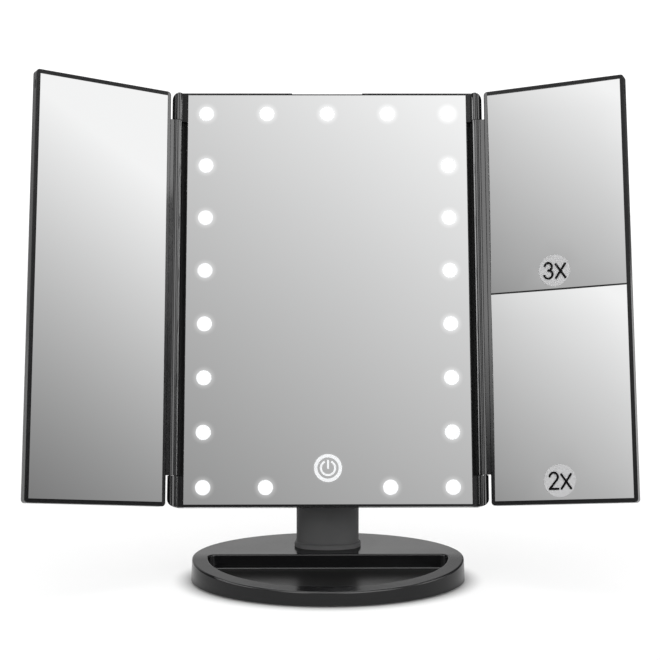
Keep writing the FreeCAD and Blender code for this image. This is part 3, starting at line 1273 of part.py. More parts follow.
def wing_cover(label, side):
    body = new_body(label)
    extrude(body, "slab", "XZ_Plane", "sizes.wing_parting", "sizes.wing_back",
            lambda sketch: wing_rectangle(sketch, side))
    fillet(body, "corners", "sizes.wing_corner", lambda edge: runs_along(edge, "Y"))
    fillet(body, "back_round", "sizes.wing_round", lambda edge: lies_at(edge, "Y", size("sizes.wing_back")))
    inset = "sizes.cover_wall"
    pocket(body, "inside", "XZ_Plane", "sizes.wing_parting", f"sizes.wing_back - {inset}",
           lambda sketch: wing_rectangle(sketch, side,
                                         f"sizes.wing_near + {inset}", f"sizes.wing_far - {inset}",
                                         f"sizes.wing_low + {inset}", f"sizes.wing_high - {inset}"))
    return body


def flat_wing_mirror():
    body = new_body("left_mirror")
    fit = "sizes.glass_fit"
    extrude(body, "glass", "XZ_Plane", "-sizes.wing_glass_face", SEAT_FLOOR, lambda sketch: wing_rectangle(
        sketch, -1, f"sizes.wing_glass_near + {fit}", f"sizes.wing_glass_far - {fit}",
        f"sizes.wing_glass_low + {fit}", f"sizes.wing_glass_high - {fit}"))
    return body


def bind(primitive, **formulas):
    """Binds a Part primitive's properties to the sheet; Placement__Base__x is Placement.Base.x."""
    for path, formula in formulas.items():
        primitive.setExpression(path.replace("__", "."), formula)
    return primitive


def cut_from(label, base, tool):
    result = doc.addObject("Part::Cut", label)
    result.Label = label
    result.Base = base
    result.Tool = tool
    doc.recompute()
    return result


def label_cylinder(name, low, radius):
    """A disc through the magnifier's face, with its axis along y."""
    disc = doc.addObject("Part::Cylinder", name)
    disc.Placement = FreeCAD.Placement(FreeCAD.Vector(), FreeCAD.Rotation(TILT_AXIS, 90))
    return bind(disc, Radius=radius, Height="sizes.wing_glass_face - sizes.label_back",
                Placement__Base__x="sizes.label_across", Placement__Base__y="-sizes.label_back",
                Placement__Base__z=f"{low} + sizes.label_rise")


def magnifier(label, pane, curve):
    """A pane with a shallow spherical hollow in its face, and its round flush label."""
    low, high = pane
    fit = "sizes.glass_fit"
    width = f"sizes.wing_glass_far - sizes.wing_glass_near - 2 * {fit}"
    block = bind(doc.addObject("Part::Box", f"{label}_block"), Length=width, Width="sizes.wing_glass_thick",
                  Height=f"{high} - ({low}) - 2 * {fit}", Placement__Base__x=f"sizes.wing_glass_near + {fit}",
                  Placement__Base__y="-sizes.wing_glass_face", Placement__Base__z=f"{low} + {fit}")
    corner_squared = f"(({width}) / 2)^2 + (({high} - ({low})) / 2)^2"
    ball_y = f"-sizes.wing_glass_face - sqrt({curve}^2 - ({corner_squared}))"
    balls = []
    for use in ("face", "label_face"):
        balls.append(bind(doc.addObject("Part::Sphere", f"{label}_{use}"), Radius=curve,
                           Placement__Base__x="(sizes.wing_glass_near + sizes.wing_glass_far) / 2",
                           Placement__Base__y=ball_y, Placement__Base__z=f"(({low}) + ({high})) / 2"))
    doc.recompute()
    return block, balls


def magnifiers():
    made = []
    for label, tag, pane, curve in (("mirror_2x", "label_2x", TWO_PANES[0], "sizes.curve_two"),
                                    ("mirror_3x", "label_3x", TWO_PANES[1], "sizes.curve_three")):
        block, (face_ball, label_ball) = magnifier(label, pane, curve)
        hollow = cut_from(f"{label}_hollow", block, face_ball)
        hole = label_cylinder(f"{label}_hole", pane[0], "sizes.label_radius")
        made.append(cut_from(label, hollow, hole))
        disc = label_cylinder(f"{tag}_disc", pane[0], "sizes.label_radius - sizes.window_fit")
        made.append(cut_from(tag, disc, label_ball))
    parts.extend(made)
    return made


# ---------------------------------------------------------------- assembly

def main_board():
    return board("main_board", "sizes.main_left", "sizes.main_right", "sizes.main_low", "sizes.main_high",
                 "sizes.main_front")


def charging_board():
    return board("charging_board", "sizes.socket_across - sizes.charge_half",
                 "sizes.socket_across + sizes.charge_half", "sizes.switch_up - sizes.charge_half",
                 "sizes.switch_up + sizes.charge_half", "sizes.charge_front")


def touch_board():
    return board("touch_board", "-sizes.touch_half", "sizes.touch_half",
                 "sizes.touch_low", "sizes.touch_high")


def build_stand():
    base_shell()
    base_plate()
    base_screws()
    base_weight()
    non_slip_ring()
    stand_collar()
    post_shell("post_front_shell", -1)
    post_shell("post_rear_shell", 1)
    post_closing_screws()
    post_foot_screws()
    tilt_pin()
    friction_washers()


def build_head():
    pieces = [
        front_frame(), rear_shell(), head_screws(), hinge_pins(), tilt_bracket(), bracket_screws(),
        centre_mirror(), light_windows(), touch_ring(), reflector(), light_chips(), touch_pad(),
        touch_board(), main_board(), main_board_parts(), switch_body(), switch_knob(),
        charging_board(), charging_socket(), socket_tongue(), battery_tray(), batteries(),
        battery_contacts(), battery_door()]
    for piece in pieces + light_strips():
        piece.Placement = head_placement()


def build_wings():
    left = [wing_frame("left_wing_frame", -1, WHOLE_PANE), wing_cover("left_wing_cover", -1),
            flat_wing_mirror()]
    right = [wing_frame("right_wing_frame", 1, TWO_PANES), wing_cover("right_wing_cover", 1)]
    right += magnifiers()
    for side, pieces in ((-1, left), (1, right)):
        for piece in pieces:
            piece.Placement = wing_placement(side)


def check_document():
    """Stops on any failed object or empty or broken shape."""
    for item in doc.Objects:
        if {"Invalid", "Error"} & set(item.State):
            raise RuntimeError(f"{item.Label} failed: {item.State}")
    labels = [part.Label for part in parts]
    if len(set(labels)) != len(labels) or any(part.Label[-1].isdigit() for part in parts):
        raise RuntimeError(f"a sub-part was renamed: {labels}")
    for part in parts:
        if part.Shape.isNull() or not part.Shape.isValid() or not part.Shape.Solids:
            raise RuntimeError(f"{part.Label} has no valid solid")


def write_parts():
    os.makedirs("parts", exist_ok=True)
    for part in parts:
        part.Shape.exportStep(os.path.join("parts", f"{part.Label}.step"))


build_stand()
build_head()
build_wings()
doc.recompute()
check_document()
write_parts()
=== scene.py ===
import json
import math

import bmesh
import bpy
from mathutils import Matrix, Vector


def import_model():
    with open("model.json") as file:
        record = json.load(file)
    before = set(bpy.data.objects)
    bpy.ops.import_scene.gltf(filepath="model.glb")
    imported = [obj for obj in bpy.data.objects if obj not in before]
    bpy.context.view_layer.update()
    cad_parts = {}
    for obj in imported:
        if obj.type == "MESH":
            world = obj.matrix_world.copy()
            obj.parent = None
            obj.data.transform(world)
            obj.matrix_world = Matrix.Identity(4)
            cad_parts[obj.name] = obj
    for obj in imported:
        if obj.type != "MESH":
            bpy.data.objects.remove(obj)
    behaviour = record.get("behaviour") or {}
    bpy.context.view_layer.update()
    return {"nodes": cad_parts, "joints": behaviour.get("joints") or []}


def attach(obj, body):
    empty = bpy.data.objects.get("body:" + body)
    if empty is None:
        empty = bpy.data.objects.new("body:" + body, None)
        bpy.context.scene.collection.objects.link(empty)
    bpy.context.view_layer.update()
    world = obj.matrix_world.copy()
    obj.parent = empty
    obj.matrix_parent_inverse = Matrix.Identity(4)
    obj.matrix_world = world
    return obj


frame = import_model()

# ---------------------------------------------------------------- the frame's own directions

MM = 0.001
JOINTS = {joint["name"]: joint for joint in frame["joints"]}
RIGHT = Vector((1, 0, 0))
UP = Vector(JOINTS["left_wing_hinge"]["axis"]).normalized()  # along the leaning head
FRONT = RIGHT.cross(UP)  # out of the centre mirror's face
BACK = Vector((0, 1, 0))
SKYWARD = Vector((0, 0, 1))
# each wing's turn about UP at rest. At its hinge's lower limit it lies flat, beside the centre panel
LEFT_TURN = math.radians(-JOINTS["left_wing_hinge"]["range_deg"][0])
RIGHT_TURN = math.radians(JOINTS["right_wing_hinge"]["range_deg"][0])


def turned(direction, angle):
    return Matrix.Rotation(angle, 3, UP) @ direction


def extent(node, direction):
    """Lowest and highest place of a CAD node along a direction."""
    places = [vertex.co.dot(direction) for vertex in frame["nodes"][node].data.vertices]
    return min(places), max(places)


def middle(node, *directions):
    return [sum(extent(node, direction)) / 2 for direction in directions]


# ---------------------------------------------------------------- node helpers

class Tree:
    """Short calls for building a node tree."""

    def __init__(self, tree):
        self.tree = tree
        tree.nodes.clear()

    def add(self, kind, inputs=None, **settings):
        node = self.tree.nodes.new(kind)
        for name, value in settings.items():
            setattr(node, name, value)
        for key, value in (inputs or {}).items():
            self.feed(node.inputs[key], value)
        return node

    def feed(self, socket, value):
        if isinstance(value, bpy.types.NodeSocket):
            self.tree.links.new(value, socket)
        else:
            socket.default_value = value

    def math(self, operation, *values):
        node = self.add("ShaderNodeMath", operation=operation)
        for socket, value in zip(node.inputs, values):
            self.feed(socket, value)
        return node.outputs[0]

    def squares(self, one, other):
        """The squares of two values, added."""
        return self.math("ADD", self.math("MULTIPLY", one, one), self.math("MULTIPLY", other, other))

    def distance(self, one, other):
        return self.math("SQRT", self.squares(one, other))

    def dot(self, vector, direction):
        node = self.add("ShaderNodeVectorMath", {0: vector, 1: direction}, operation="DOT_PRODUCT")
        return node.outputs["Value"]

    def spread(self, value, from_min, from_max, to_min, to_max, smooth=False):
        kind = "SMOOTHSTEP" if smooth else "LINEAR"
        node = self.add("ShaderNodeMapRange", {"Value": value, "From Min": from_min, "From Max": from_max,
                                               "To Min": to_min, "To Max": to_max}, interpolation_type=kind)
        return node.outputs["Result"]

    def rise(self, value, start, end):
        """0 up to start and 1 from end, softly."""
        return self.spread(value, start, end, 0, 1, smooth=True)

    def fall(self, value, start, end):
        """1 up to start and 0 from end, softly."""
        return self.spread(value, start, end, 1, 0, smooth=True)

    def mix(self, factor, low, high):
        node = self.add("ShaderNodeMix", {"Factor": factor, "A": low, "B": high}, data_type="FLOAT")
        return node.outputs[0]

    def colours(self, value, low, high):
        """A colour between two, by a value from 0 to 1. Each is a socket, or red, green and blue."""
        node = self.add("ShaderNodeMix", {0: value}, data_type="RGBA")
        for place, colour in ((6, low), (7, high)):  # the node's own numbers for its two colour inputs
            is_socket = isinstance(colour, bpy.types.NodeSocket)
            self.feed(node.inputs[place], colour if is_socket else (*colour, 1))
        return node.outputs[2]

    def here(self):
        return self.add("ShaderNodeTexCoord").outputs["Object"]

    def noise(self, scale, detail=2.0, rough=0.5, stretch=None):
        vector = self.here()
        if stretch:
            vector = self.add("ShaderNodeMapping", {"Vector": vector, "Scale": stretch}).outputs[0]
        node = self.add("ShaderNodeTexNoise", {"Vector": vector, "Scale": scale, "Detail": detail,
                                               "Roughness": rough})
        return node.outputs["Fac"]

    def bump(self, height, depth, normal=None):
        inputs = {"Height": height, "Distance": depth, "Strength": 1.0}
        if normal:
            inputs["Normal"] = normal
        return self.add("ShaderNodeBump", inputs).outputs[0]


def new_material(name, **constants):
    material = bpy.data.materials.new(name)
    material.use_nodes = True
    tree = Tree(material.node_tree)
    shader = tree.add("ShaderNodeBsdfPrincipled", constants)
    tree.add("ShaderNodeOutputMaterial", {"Surface": shader.outputs[0]})
    return material, tree, shader.inputs


# ---------------------------------------------------------------- materials

def moulded(name, colour, gloss, grain=0.00002, grain_scale=2600, sheen_spread=0.06, ior=1.46,
            recess=None, crown=None):
    """Injection-moulded plastic: fine grain, faint flow marks, and patches a little shinier from handling.

    recess gives the roughness and colour of an area with its own finish (in the frame's groove, a darker
    colour that is painted shade), and a value that is 1 inside it.
    crown is the turn of a wing whose border beside the hinge is slightly crowned."""
    material, tree, sockets = new_material(name, IOR=ior)
    tone = tree.noise(38, 3)
    darker = [part * 0.8 for part in colour]
    lighter = [part * 1.25 for part in colour]
    paint = tree.colours(tone, darker, lighter)
    patches = tree.noise(22, 4, 0.62)
    speckle = tree.noise(900, 2)
    rough = tree.math("ADD", tree.spread(patches, 0.3, 0.7, gloss - sheen_spread, gloss + sheen_spread),
                      tree.spread(speckle, 0.3, 0.7, -0.02, 0.02))
    if recess:
        recess_rough, recess_colour, inside = recess(tree)
        paint = tree.colours(inside, paint, recess_colour)
        rough = tree.mix(inside, rough, recess_rough)
    tree.feed(sockets["Base Color"], paint)
    tree.feed(sockets["Roughness"], rough)
    surface = tree.bump(tree.noise(grain_scale, 2), grain)
    surface = tree.bump(tree.noise(60, 1), grain, surface)
    if crown is not None:
        surface = tree.bump(border_crown(tree, crown), 1.0, surface)
    tree.feed(sockets["Normal"], surface)
    return material


CROWN_SLOPE = math.radians(14)
BORDER_DEPTH = 0.6 * MM  # a wing's border is this near the plane of its glass's face


def border_crown(tree, turn):
    """Height of the crowned border between a wing's glass and its hinge."""
    pane = "left_mirror" if turn > 0 else "mirror_2x"
    outward = turned(RIGHT, turn) * math.copysign(1, -turn)
    front = turned(FRONT, turn)
    past_glass = tree.math("SUBTRACT", extent(pane, outward)[0], tree.dot(tree.here(), outward))
    on_face = tree.math("GREATER_THAN", tree.dot(tree.here(), front), extent(pane, front)[1] - BORDER_DEPTH)
    drop = tree.math("MULTIPLY", tree.math("MAXIMUM", past_glass, 0.0), -math.tan(CROWN_SLOPE))
    return tree.math("MULTIPLY", drop, on_face)


GROOVE_START = 0.3 * MM  # beside the centre glass
GROOVE_TOP = 0.25 * MM  # behind its face


def painted_shade_groove(tree):
    """The deep groove between the centre glass and each wing's barrel: a matt finish, and a darker colour
    there that is painted shade.
    """
    inner_side = extent("centre_mirror", RIGHT)[1] + GROOVE_START
    top = extent("centre_mirror", FRONT)[1] - GROOVE_TOP
    beside = tree.math("GREATER_THAN", tree.math("ABSOLUTE", tree.dot(tree.here(), RIGHT)), inner_side)
    behind = tree.math("LESS_THAN", tree.dot(tree.here(), FRONT), top)
    # the darker colour here is painted shade in the groove
    return 0.95, (0.0012, 0.0012, 0.0012), tree.math("MULTIPLY", beside, behind)


def oval(tree, inset):
    """1 on an oval this far inside the base's outline, less inside it and more outside it."""
    long_half = extent("base_shell", RIGHT)[1] - inset
    short_half = extent("base_shell", BACK)[1] - inset
    across = tree.math("DIVIDE", tree.dot(tree.here(), RIGHT), long_half)
    along = tree.math("DIVIDE", tree.dot(tree.here(), BACK), short_half)
    return tree.distance(across, along)


TRAY_INSET = 9.7 * MM  # the tray's curved wall inside the base's outline
TRAY_MARGIN = 1.05  # a little past that wall
FLOOR_FINISH_TOP = (4.3 * MM, 5.2 * MM)  # the floor's finish ends between these heights over the base's foot


def tray_bed(tree):
    """The tray's floor, whose finish differs a little from the rest of the base."""
    foot = extent("base_shell", SKYWARD)[0]
    start, end = FLOOR_FINISH_TOP
    floor = tree.spread(tree.dot(tree.here(), SKYWARD), foot + start, foot + end, 1, 0)
    within = tree.math("LESS_THAN", oval(tree, TRAY_INSET), TRAY_MARGIN)
    return 0.3, (0.003, 0.003, 0.003), tree.math("MULTIPLY", floor, within)


def metal(name, colour, rough, along):
    """Plated or ground metal with fine drawn lines."""
    material, tree, sockets = new_material(name, Metallic=1.0)
    lines = tree.noise(160, 3, 0.6, along)
    tree.feed(sockets["Base Color"], tree.colours(lines, [part * 0.82 for part in colour], colour))
    tree.feed(sockets["Roughness"], tree.spread(lines, 0.25, 0.75, rough - 0.1, rough + 0.12))
    tree.feed(sockets["Normal"], tree.bump(lines, 0.00001))
    return material


def rubber(name, colour):
    material, tree, sockets = new_material(name)
    darker = [part * 0.7 for part in colour]
    tree.feed(sockets["Base Color"], tree.colours(tree.noise(300, 4), darker, colour))
    tree.feed(sockets["Roughness"], tree.spread(tree.noise(180, 3), 0.2, 0.8, 0.62, 0.85))
    tree.feed(sockets["Normal"], tree.bump(tree.noise(1500, 2), 0.00005))
    return material


WINDOW_RADIUS = 4.3 * MM
COLUMN_STEPS = 7  # spaces between the eight lights of each column
HALO = 2.8 * MM  # how far the painted glow reaches into the glass round each window
RING_HALO = 1.4 * MM
RING_GLOW = 0.35  # the painted glow round the touch ring, beside the glow round a window


def nearest(tree, value, pitch):
    """Distance to the nearest whole multiple of a pitch."""
    return tree.math("PINGPONG", value, pitch / 2)


def lights_glow(tree):
    """A painted halo of light on the mirror: 1 at the rim of a light window, falling to 0 a few millimetres
    into the glass.
    """
    low, high = extent("light_windows", UP)
    wide = extent("light_windows", RIGHT)[1] - WINDOW_RADIUS
    pitch = (high - low - 2 * WINDOW_RADIUS) / COLUMN_STEPS
    side = tree.math("ABSOLUTE", tree.dot(tree.here(), RIGHT))
    up = tree.math("SUBTRACT", tree.dot(tree.here(), UP), low + WINDOW_RADIUS)
    column = tree.distance(tree.math("SUBTRACT", side, wide), nearest(tree, up, pitch))
    top = tree.distance(nearest(tree, side, wide / 2), tree.math("SUBTRACT", up, COLUMN_STEPS * pitch))
    bottom = tree.distance(tree.math("SUBTRACT", side, wide / 2), up)
    gap = tree.math("MINIMUM", tree.math("MINIMUM", column, top), bottom)
    ring_height = middle("touch_ring", UP)[0] - low - WINDOW_RADIUS
    ring_radius = extent("touch_ring", RIGHT)[1]
    ring_gap = tree.distance(side, tree.math("SUBTRACT", up, ring_height))
    window_glow = tree.spread(gap, WINDOW_RADIUS, WINDOW_RADIUS + HALO, 1, 0)
    ring_glow = tree.spread(ring_gap, ring_radius, ring_radius + RING_HALO, RING_GLOW, 0)
    return tree.math("POWER", tree.math("MAXIMUM", window_glow, ring_glow), 1.5)


def lens_figure(tree, pane, radius, lean):
    """Height that evens out a magnifier's hollow of this radius, leaning its axis down by an angle."""
    across = turned(RIGHT, RIGHT_TURN)
    side, up = middle(pane, across, UP)
    from_side = tree.math("SUBTRACT", tree.dot(tree.here(), across), side)
    from_middle = tree.math("SUBTRACT", tree.dot(tree.here(), UP), up)
    bowl = tree.math("DIVIDE", tree.squares(from_side, from_middle), -2 * radius)
    return tree.math("ADD", bowl, tree.math("MULTIPLY", from_middle, math.tan(lean)))


def silvered(name, glow=False, lens=None):
    """Silvered glass; with glow, it carries a painted halo of light round the lit windows. lens gives the
    node, hollow radius and lean of a magnifier.
    """
    material, tree, sockets = new_material(name, Metallic=1.0, IOR=1.5)
    silver = tree.colours(tree.noise(9, 2), (0.905, 0.91, 0.912), (0.93, 0.932, 0.932))
    tree.feed(sockets["Base Color"], silver)
    smear = tree.noise(30, 5, 0.7, (1, 1, 0.35))
    tree.feed(sockets["Roughness"], tree.spread(smear, 0.35, 0.8, 0.004, 0.03))
    if lens:
        tree.feed(sockets["Normal"], tree.bump(lens_figure(tree, *lens), 1.0))
    if glow:
        # painted halo: the silvering itself glows round each lit window
        tree.feed(sockets["Emission Color"], tree.colours(lights_glow(tree), (0, 0, 0), (1, 1, 1)))
        sockets["Emission Strength"].default_value = 0.16
    return material


def lit_window(name, strength=0.55):
    """A frosted window lit from behind, a little brighter in patches where the frosting is thin."""
    material, tree, sockets = new_material(name, Roughness=0.45)
    frost = tree.noise(700, 3)
    tree.feed(sockets["Base Color"], tree.colours(frost, (0.33, 0.335, 0.34), (0.37, 0.375, 0.38)))
    tree.feed(sockets["Emission Color"], tree.colours(frost, (0.93, 0.95, 0.98), (1, 1, 1)))
    sockets["Emission Strength"].default_value = strength
    tree.feed(sockets["Normal"], tree.bump(frost, 0.00002))
    return material


def label_film(name):
    """Frosted film on the glass: light grey, faintly cloudy."""
    material, tree, sockets = new_material(name)
    frost = tree.noise(240, 3)
    tree.feed(sockets["Base Color"], tree.colours(frost, (0.38, 0.38, 0.384), (0.4, 0.4, 0.404)))
    tree.feed(sockets["Roughness"], tree.spread(frost, 0.3, 0.7, 0.6, 0.7))
    return material


def ink(name):
    """Matt black printing ink."""
    material, tree, sockets = new_material(name, IOR=1.12)
    black = tree.colours(tree.noise(500, 2), (0.002, 0.002, 0.002), (0.004, 0.004, 0.004))
    tree.feed(sockets["Base Color"], black)
    tree.feed(sockets["Roughness"], tree.spread(tree.noise(900, 2), 0.3, 0.7, 0.4, 0.6))
    return material


def circuit_board(name):
    """Green solder mask over a grid of copper tracks."""
    material, tree, sockets = new_material(name, Roughness=0.32)
    tracks = tree.add("ShaderNodeTexVoronoi", {"Vector": tree.here(), "Scale": 260.0},
                      feature="DISTANCE_TO_EDGE", distance="EUCLIDEAN").outputs["Distance"]
    on_track = tree.spread(tracks, 0.03, 0.09, 1, 0)
    tree.feed(sockets["Base Color"], tree.colours(on_track, (0.012, 0.075, 0.03), (0.03, 0.16, 0.06)))
    tree.feed(sockets["Normal"], tree.bump(on_track, 0.00003))
    return material


def printed_can(name):
    """A battery's wrapper: dark in the middle and copper at both ends, plain of any mark."""
    material, tree, sockets = new_material(name, Metallic=0.6)
    low, high = extent("batteries", UP)
    place = tree.spread(tree.dot(tree.here(), UP), low, high, 0, 1)
    band = tree.math("MULTIPLY", tree.math("GREATER_THAN", place, 0.18), tree.math("LESS_THAN", place, 0.82))
    tree.feed(sockets["Base Color"], tree.colours(band, (0.42, 0.3, 0.12), (0.02, 0.022, 0.028)))
    tree.feed(sockets["Roughness"], tree.spread(tree.noise(120, 3), 0.2, 0.8, 0.22, 0.38))
    return material


def phosphor(name):
    material, tree, sockets = new_material(name, Roughness=0.3)
    tree.feed(sockets["Base Color"], tree.colours(tree.noise(800, 2), (0.85, 0.7, 0.2), (0.95, 0.85, 0.4)))
    tree.feed(sockets["Emission Color"], tree.colours(tree.noise(800, 2), (1, 0.95, 0.85), (1, 1, 1)))
    sockets["Emission Strength"].default_value = 1.0
    return material


BLACK = (0.0022, 0.0022, 0.0024)
SOFT_BLACK = (0.012, 0.012, 0.0125)
# a lower ior than the plastic's own keeps the reflections as dim as the photograph shows them
GLOSSY_TRIM = {"gloss": 0.14, "grain": 0.000002, "sheen_spread": 0.03, "ior": 1.36}

MATERIALS = {
    "base": moulded("abs_base", BLACK, gloss=0.2, grain=0.000004, ior=1.345, recess=tray_bed),
    # the frame's groove beside the centre glass gets painted shade
    "frame": moulded("abs_frame", BLACK, **GLOSSY_TRIM, recess=painted_shade_groove),
    "left_wing": moulded("abs_left_wing", BLACK, **GLOSSY_TRIM, crown=LEFT_TURN),
    "right_wing": moulded("abs_right_wing", BLACK, **GLOSSY_TRIM, crown=RIGHT_TURN),
    "post": moulded("abs_post", (0.1, 0.1, 0.101), gloss=0.55, grain=0.000005, ior=1.2),
    "abs": moulded("abs_satin", SOFT_BLACK, gloss=0.34),
    "abs_matt": moulded("abs_matt", SOFT_BLACK, gloss=0.46, grain=0.00004, grain_scale=1700),
    "plate": moulded("base_plate_plastic", SOFT_BLACK, gloss=0.55, grain=0.00006, grain_scale=1300),
    "nylon": moulded("natural_nylon", (0.62, 0.6, 0.55), gloss=0.42),
    "glass_filled": moulded("glass_filled_nylon", (0.012, 0.012, 0.012), gloss=0.5, grain=0.00005),
    "white": moulded("white_reflector", (0.8, 0.8, 0.79), gloss=0.4),
    "screw": metal("black_zinc", (0.16, 0.16, 0.165), 0.34, (1, 1, 1)),
    "pin": metal("ground_steel", (0.6, 0.6, 0.6), 0.22, (60, 1, 1)),
    "weight": metal("raw_steel", (0.3, 0.3, 0.3), 0.5, (1, 8, 1)),
    "nickel": metal("nickel_plate", (0.62, 0.6, 0.56), 0.25, (1, 1, 4)),
    "copper": metal("copper_foam", (0.6, 0.3, 0.18), 0.5, (1, 1, 1)),
    "rubber": rubber("black_rubber", (0.012, 0.012, 0.012)),
    "centre_glass": silvered("centre_silvering", glow=True),
    "flat_glass": silvered("wing_silvering"),
    "lens_2x": silvered("silvering_2x", lens=("mirror_2x", 3.0, 0.0)),
    "lens_3x": silvered("silvering_3x", lens=("mirror_3x", 2.05, math.radians(4.05))),
    "window": lit_window("light_window"),
    "ring": lit_window("touch_light", 0.42),
    "label": label_film("frosted_label"),
    "ink": ink("label_ink"),
    "board": circuit_board("circuit_board"),
    "chips": phosphor("light_chip"),
    "can": printed_can("battery_wrapper"),
    "parts": moulded("component_epoxy", (0.02, 0.02, 0.022), gloss=0.38),
}

NODE_LOOKS = {
    "base": ("base_shell",),
    "frame": ("front_frame",),
    "left_wing": ("left_wing_frame",),
    "right_wing": ("right_wing_frame",),
    "post": ("post_front_shell", "post_rear_shell", "stand_collar"),
    "abs": ("rear_shell", "left_wing_cover", "right_wing_cover"),
    "abs_matt": ("battery_door", "switch_knob", "switch_body", "battery_tray", "socket_tongue"),
    "plate": ("base_plate",),
    "nylon": ("friction_washers",),
    "glass_filled": ("tilt_bracket",),
    "white": ("reflector",),
    "screw": ("base_screws", "post_closing_screws", "post_foot_screws", "head_screws", "bracket_screws"),
    "pin": ("tilt_pin", "hinge_pins"),
    "weight": ("base_weight",),
    "nickel": ("battery_contacts", "charging_socket"),
    "copper": ("touch_pad",),
    "rubber": ("non_slip_ring",),
    "centre_glass": ("centre_mirror",),
    "flat_glass": ("left_mirror",),
    "lens_2x": ("mirror_2x",),
    "lens_3x": ("mirror_3x",),
    "window": ("light_windows",),
    "ring": ("touch_ring",),
    "label": ("label_2x", "label_3x"),
    "board": ("light_strip_left", "light_strip_right", "light_strip_top", "light_strip_bottom",
              "touch_board", "main_board", "charging_board"),
    "chips": ("light_chips",),
    "can": ("batteries",),
    "parts": ("main_board_parts",),
}


def paint_cad():
    for look, nodes in NODE_LOOKS.items():
        for name in nodes:
            for slot in frame["nodes"][name].material_slots:
                slot.material = MATERIALS[look]


# ---------------------------------------------------------------- magnification labels

def ribbon(points, width, cap_steps=8):
    """The outline of a stroke of constant width with round ends, as one polygon's points."""
    sides = []
    count = len(points)
    for index, point in enumerate(points):
        before = points[max(index - 1, 0)]
        after = points[min(index + 1, count - 1)]
        run = (after - before).normalized()
        sides.append(Vector((-run.y, run.x)) * width / 2)
    left = [point + side for point, side in zip(points, sides)]
    right = [point - side for point, side in zip(points, sides)]

    def cap(centre, side):
        return [centre + Matrix.Rotation(-math.pi * step / cap_steps, 2) @ side
                for step in range(1, cap_steps)]

    return left + cap(points[-1], sides[-1]) + right[::-1] + cap(points[0], -sides[0])


def arc(centre, radii, start, end, steps=20):
    """Points round an oval from a start to an end in degrees."""
    points = []
    for step in range(steps + 1):
        angle = math.radians(start + (end - start) * step / steps)
        across = centre[0] + radii[0] * math.cos(angle)
        up = centre[1] + radii[1] * math.sin(angle)
        points.append(Vector((across, up)))
    return points


def figure_three():
    """Two bowls that meet at the waist, in a cell one unit high and 0.58 wide."""
    upper = arc((0.27, 0.75), (0.23, 0.25), 165, -90)
    lower = arc((0.27, 0.26), (0.27, 0.26), 90, -165)
    return [upper, lower]


def figure_two():
    """A bowl that runs down to a foot, in the same cell."""
    bowl = arc((0.28, 0.73), (0.26, 0.27), 170, -38, 24)
    heel = Vector((0.02, 0.0))
    return [bowl + [heel], [heel, Vector((0.56, 0.0))]]


def letter_x():
    """A little lower than the figure beside it."""
    return [[Vector((0.0, 0.0)), Vector((0.6, 0.88))], [Vector((0.6, 0.0)), Vector((0.0, 0.88))]]


FIGURE_HIGH = 8.9 * MM
PRINT_THICK = 0.12 * MM
# in heights of a figure: the width of its lines, and where it and the x start from the label's middle
STROKE = 0.135
FIGURE_START = -0.66
X_START = 0.1


def magnification(name, label, figure):
    """A dark printed figure and an x on a round label."""
    across = turned(RIGHT, RIGHT_TURN)
    out = turned(FRONT, RIGHT_TURN)
    side, up = middle(label, across, UP)
    face = extent(label, out)[1]
    mesh = bmesh.new()
    for strokes, start in ((figure, FIGURE_START), (letter_x(), X_START)):
        for points in strokes:
            corners = []
            for point in ribbon(points, STROKE):
                place = across * (side + (point.x + start) * FIGURE_HIGH)
                place += UP * (up + (point.y - 0.5) * FIGURE_HIGH) + out * face
                corners.append(mesh.verts.new(place))
            front = mesh.faces.new(corners)
            grown = bmesh.ops.extrude_face_region(mesh, geom=[front])
            moved = [item for item in grown["geom"] if isinstance(item, bmesh.types.BMVert)]
            bmesh.ops.translate(mesh, verts=moved, vec=out * PRINT_THICK)
    bmesh.ops.recalc_face_normals(mesh, faces=mesh.faces)
    return piece(name, mesh, "ink", "right_wing")


def piece(name, mesh, look, body):
    data = bpy.data.meshes.new(name)
    mesh.to_mesh(data)
    mesh.free()
    data.materials.append(MATERIALS[look])
    item = bpy.data.objects.new(name, data)
    bpy.context.scene.collection.objects.link(item)
    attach(item, body)
    return item


# ---------------------------------------------------------------- room, lights and camera

FLOOR_RADIUS = 7.0
PAINTED_SHADOW_FADE = (0.93, 1.16)  # the floor's glow starts and is full here, where 1 is the base's outline: inside it, a painted contact shadow


def room():
    """A plain pale floor, lit softly from within like a light table, with a painted contact shadow under and
    round the base where its glow fades.
    """
    mesh = bmesh.new()
    bmesh.ops.create_circle(mesh, cap_ends=True, segments=96, radius=FLOOR_RADIUS)
    data = bpy.data.meshes.new("floor")
    mesh.to_mesh(data)
    mesh.free()
    material, tree, sockets = new_material("pale_floor", Roughness=0.7)
    sockets["Specular IOR Level"].default_value = 0.1
    tree.feed(sockets["Base Color"], tree.colours(tree.noise(3, 2), (0.29, 0.29, 0.29), (0.3, 0.3, 0.3)))
    # painted contact shadow: the floor's glow fades almost to nothing under and round the base
    clear = tree.rise(oval(tree, 0), *PAINTED_SHADOW_FADE)
    tree.feed(sockets["Emission Color"], tree.colours(clear, (0.02, 0.02, 0.02), (1, 1, 1)))
    sockets["Emission Strength"].default_value = 0.67
    data.materials.append(material)
    floor = bpy.data.objects.new("floor", data)
    bpy.context.scene.collection.objects.link(floor)


# Directions in the studio are in degrees: to the right of straight out in front (-Y), and up from level.
WALL_DARKEST = 0.42
WALL_PALEST = 0.96
SCREEN_GAMMA = 2.2  # the walls' tones are given as seen on a screen
# each wall that a mirror faces: its tone at a direction, and the tone's change for each degree to the right
# and up
CENTRE_WALL = {"tone": 0.62, "right": -4, "up": 20, "per_right": 0.0113, "per_up": 0.017}
RIGHT_WALL = {"tone": 0.59, "right": 57, "up": 12, "per_right": 0.028, "per_up": 0.0264}
LEFT_WALL = {"tone": 0.605, "right": -42, "up": 15, "per_right": 0.0203, "per_up": 0.0367}
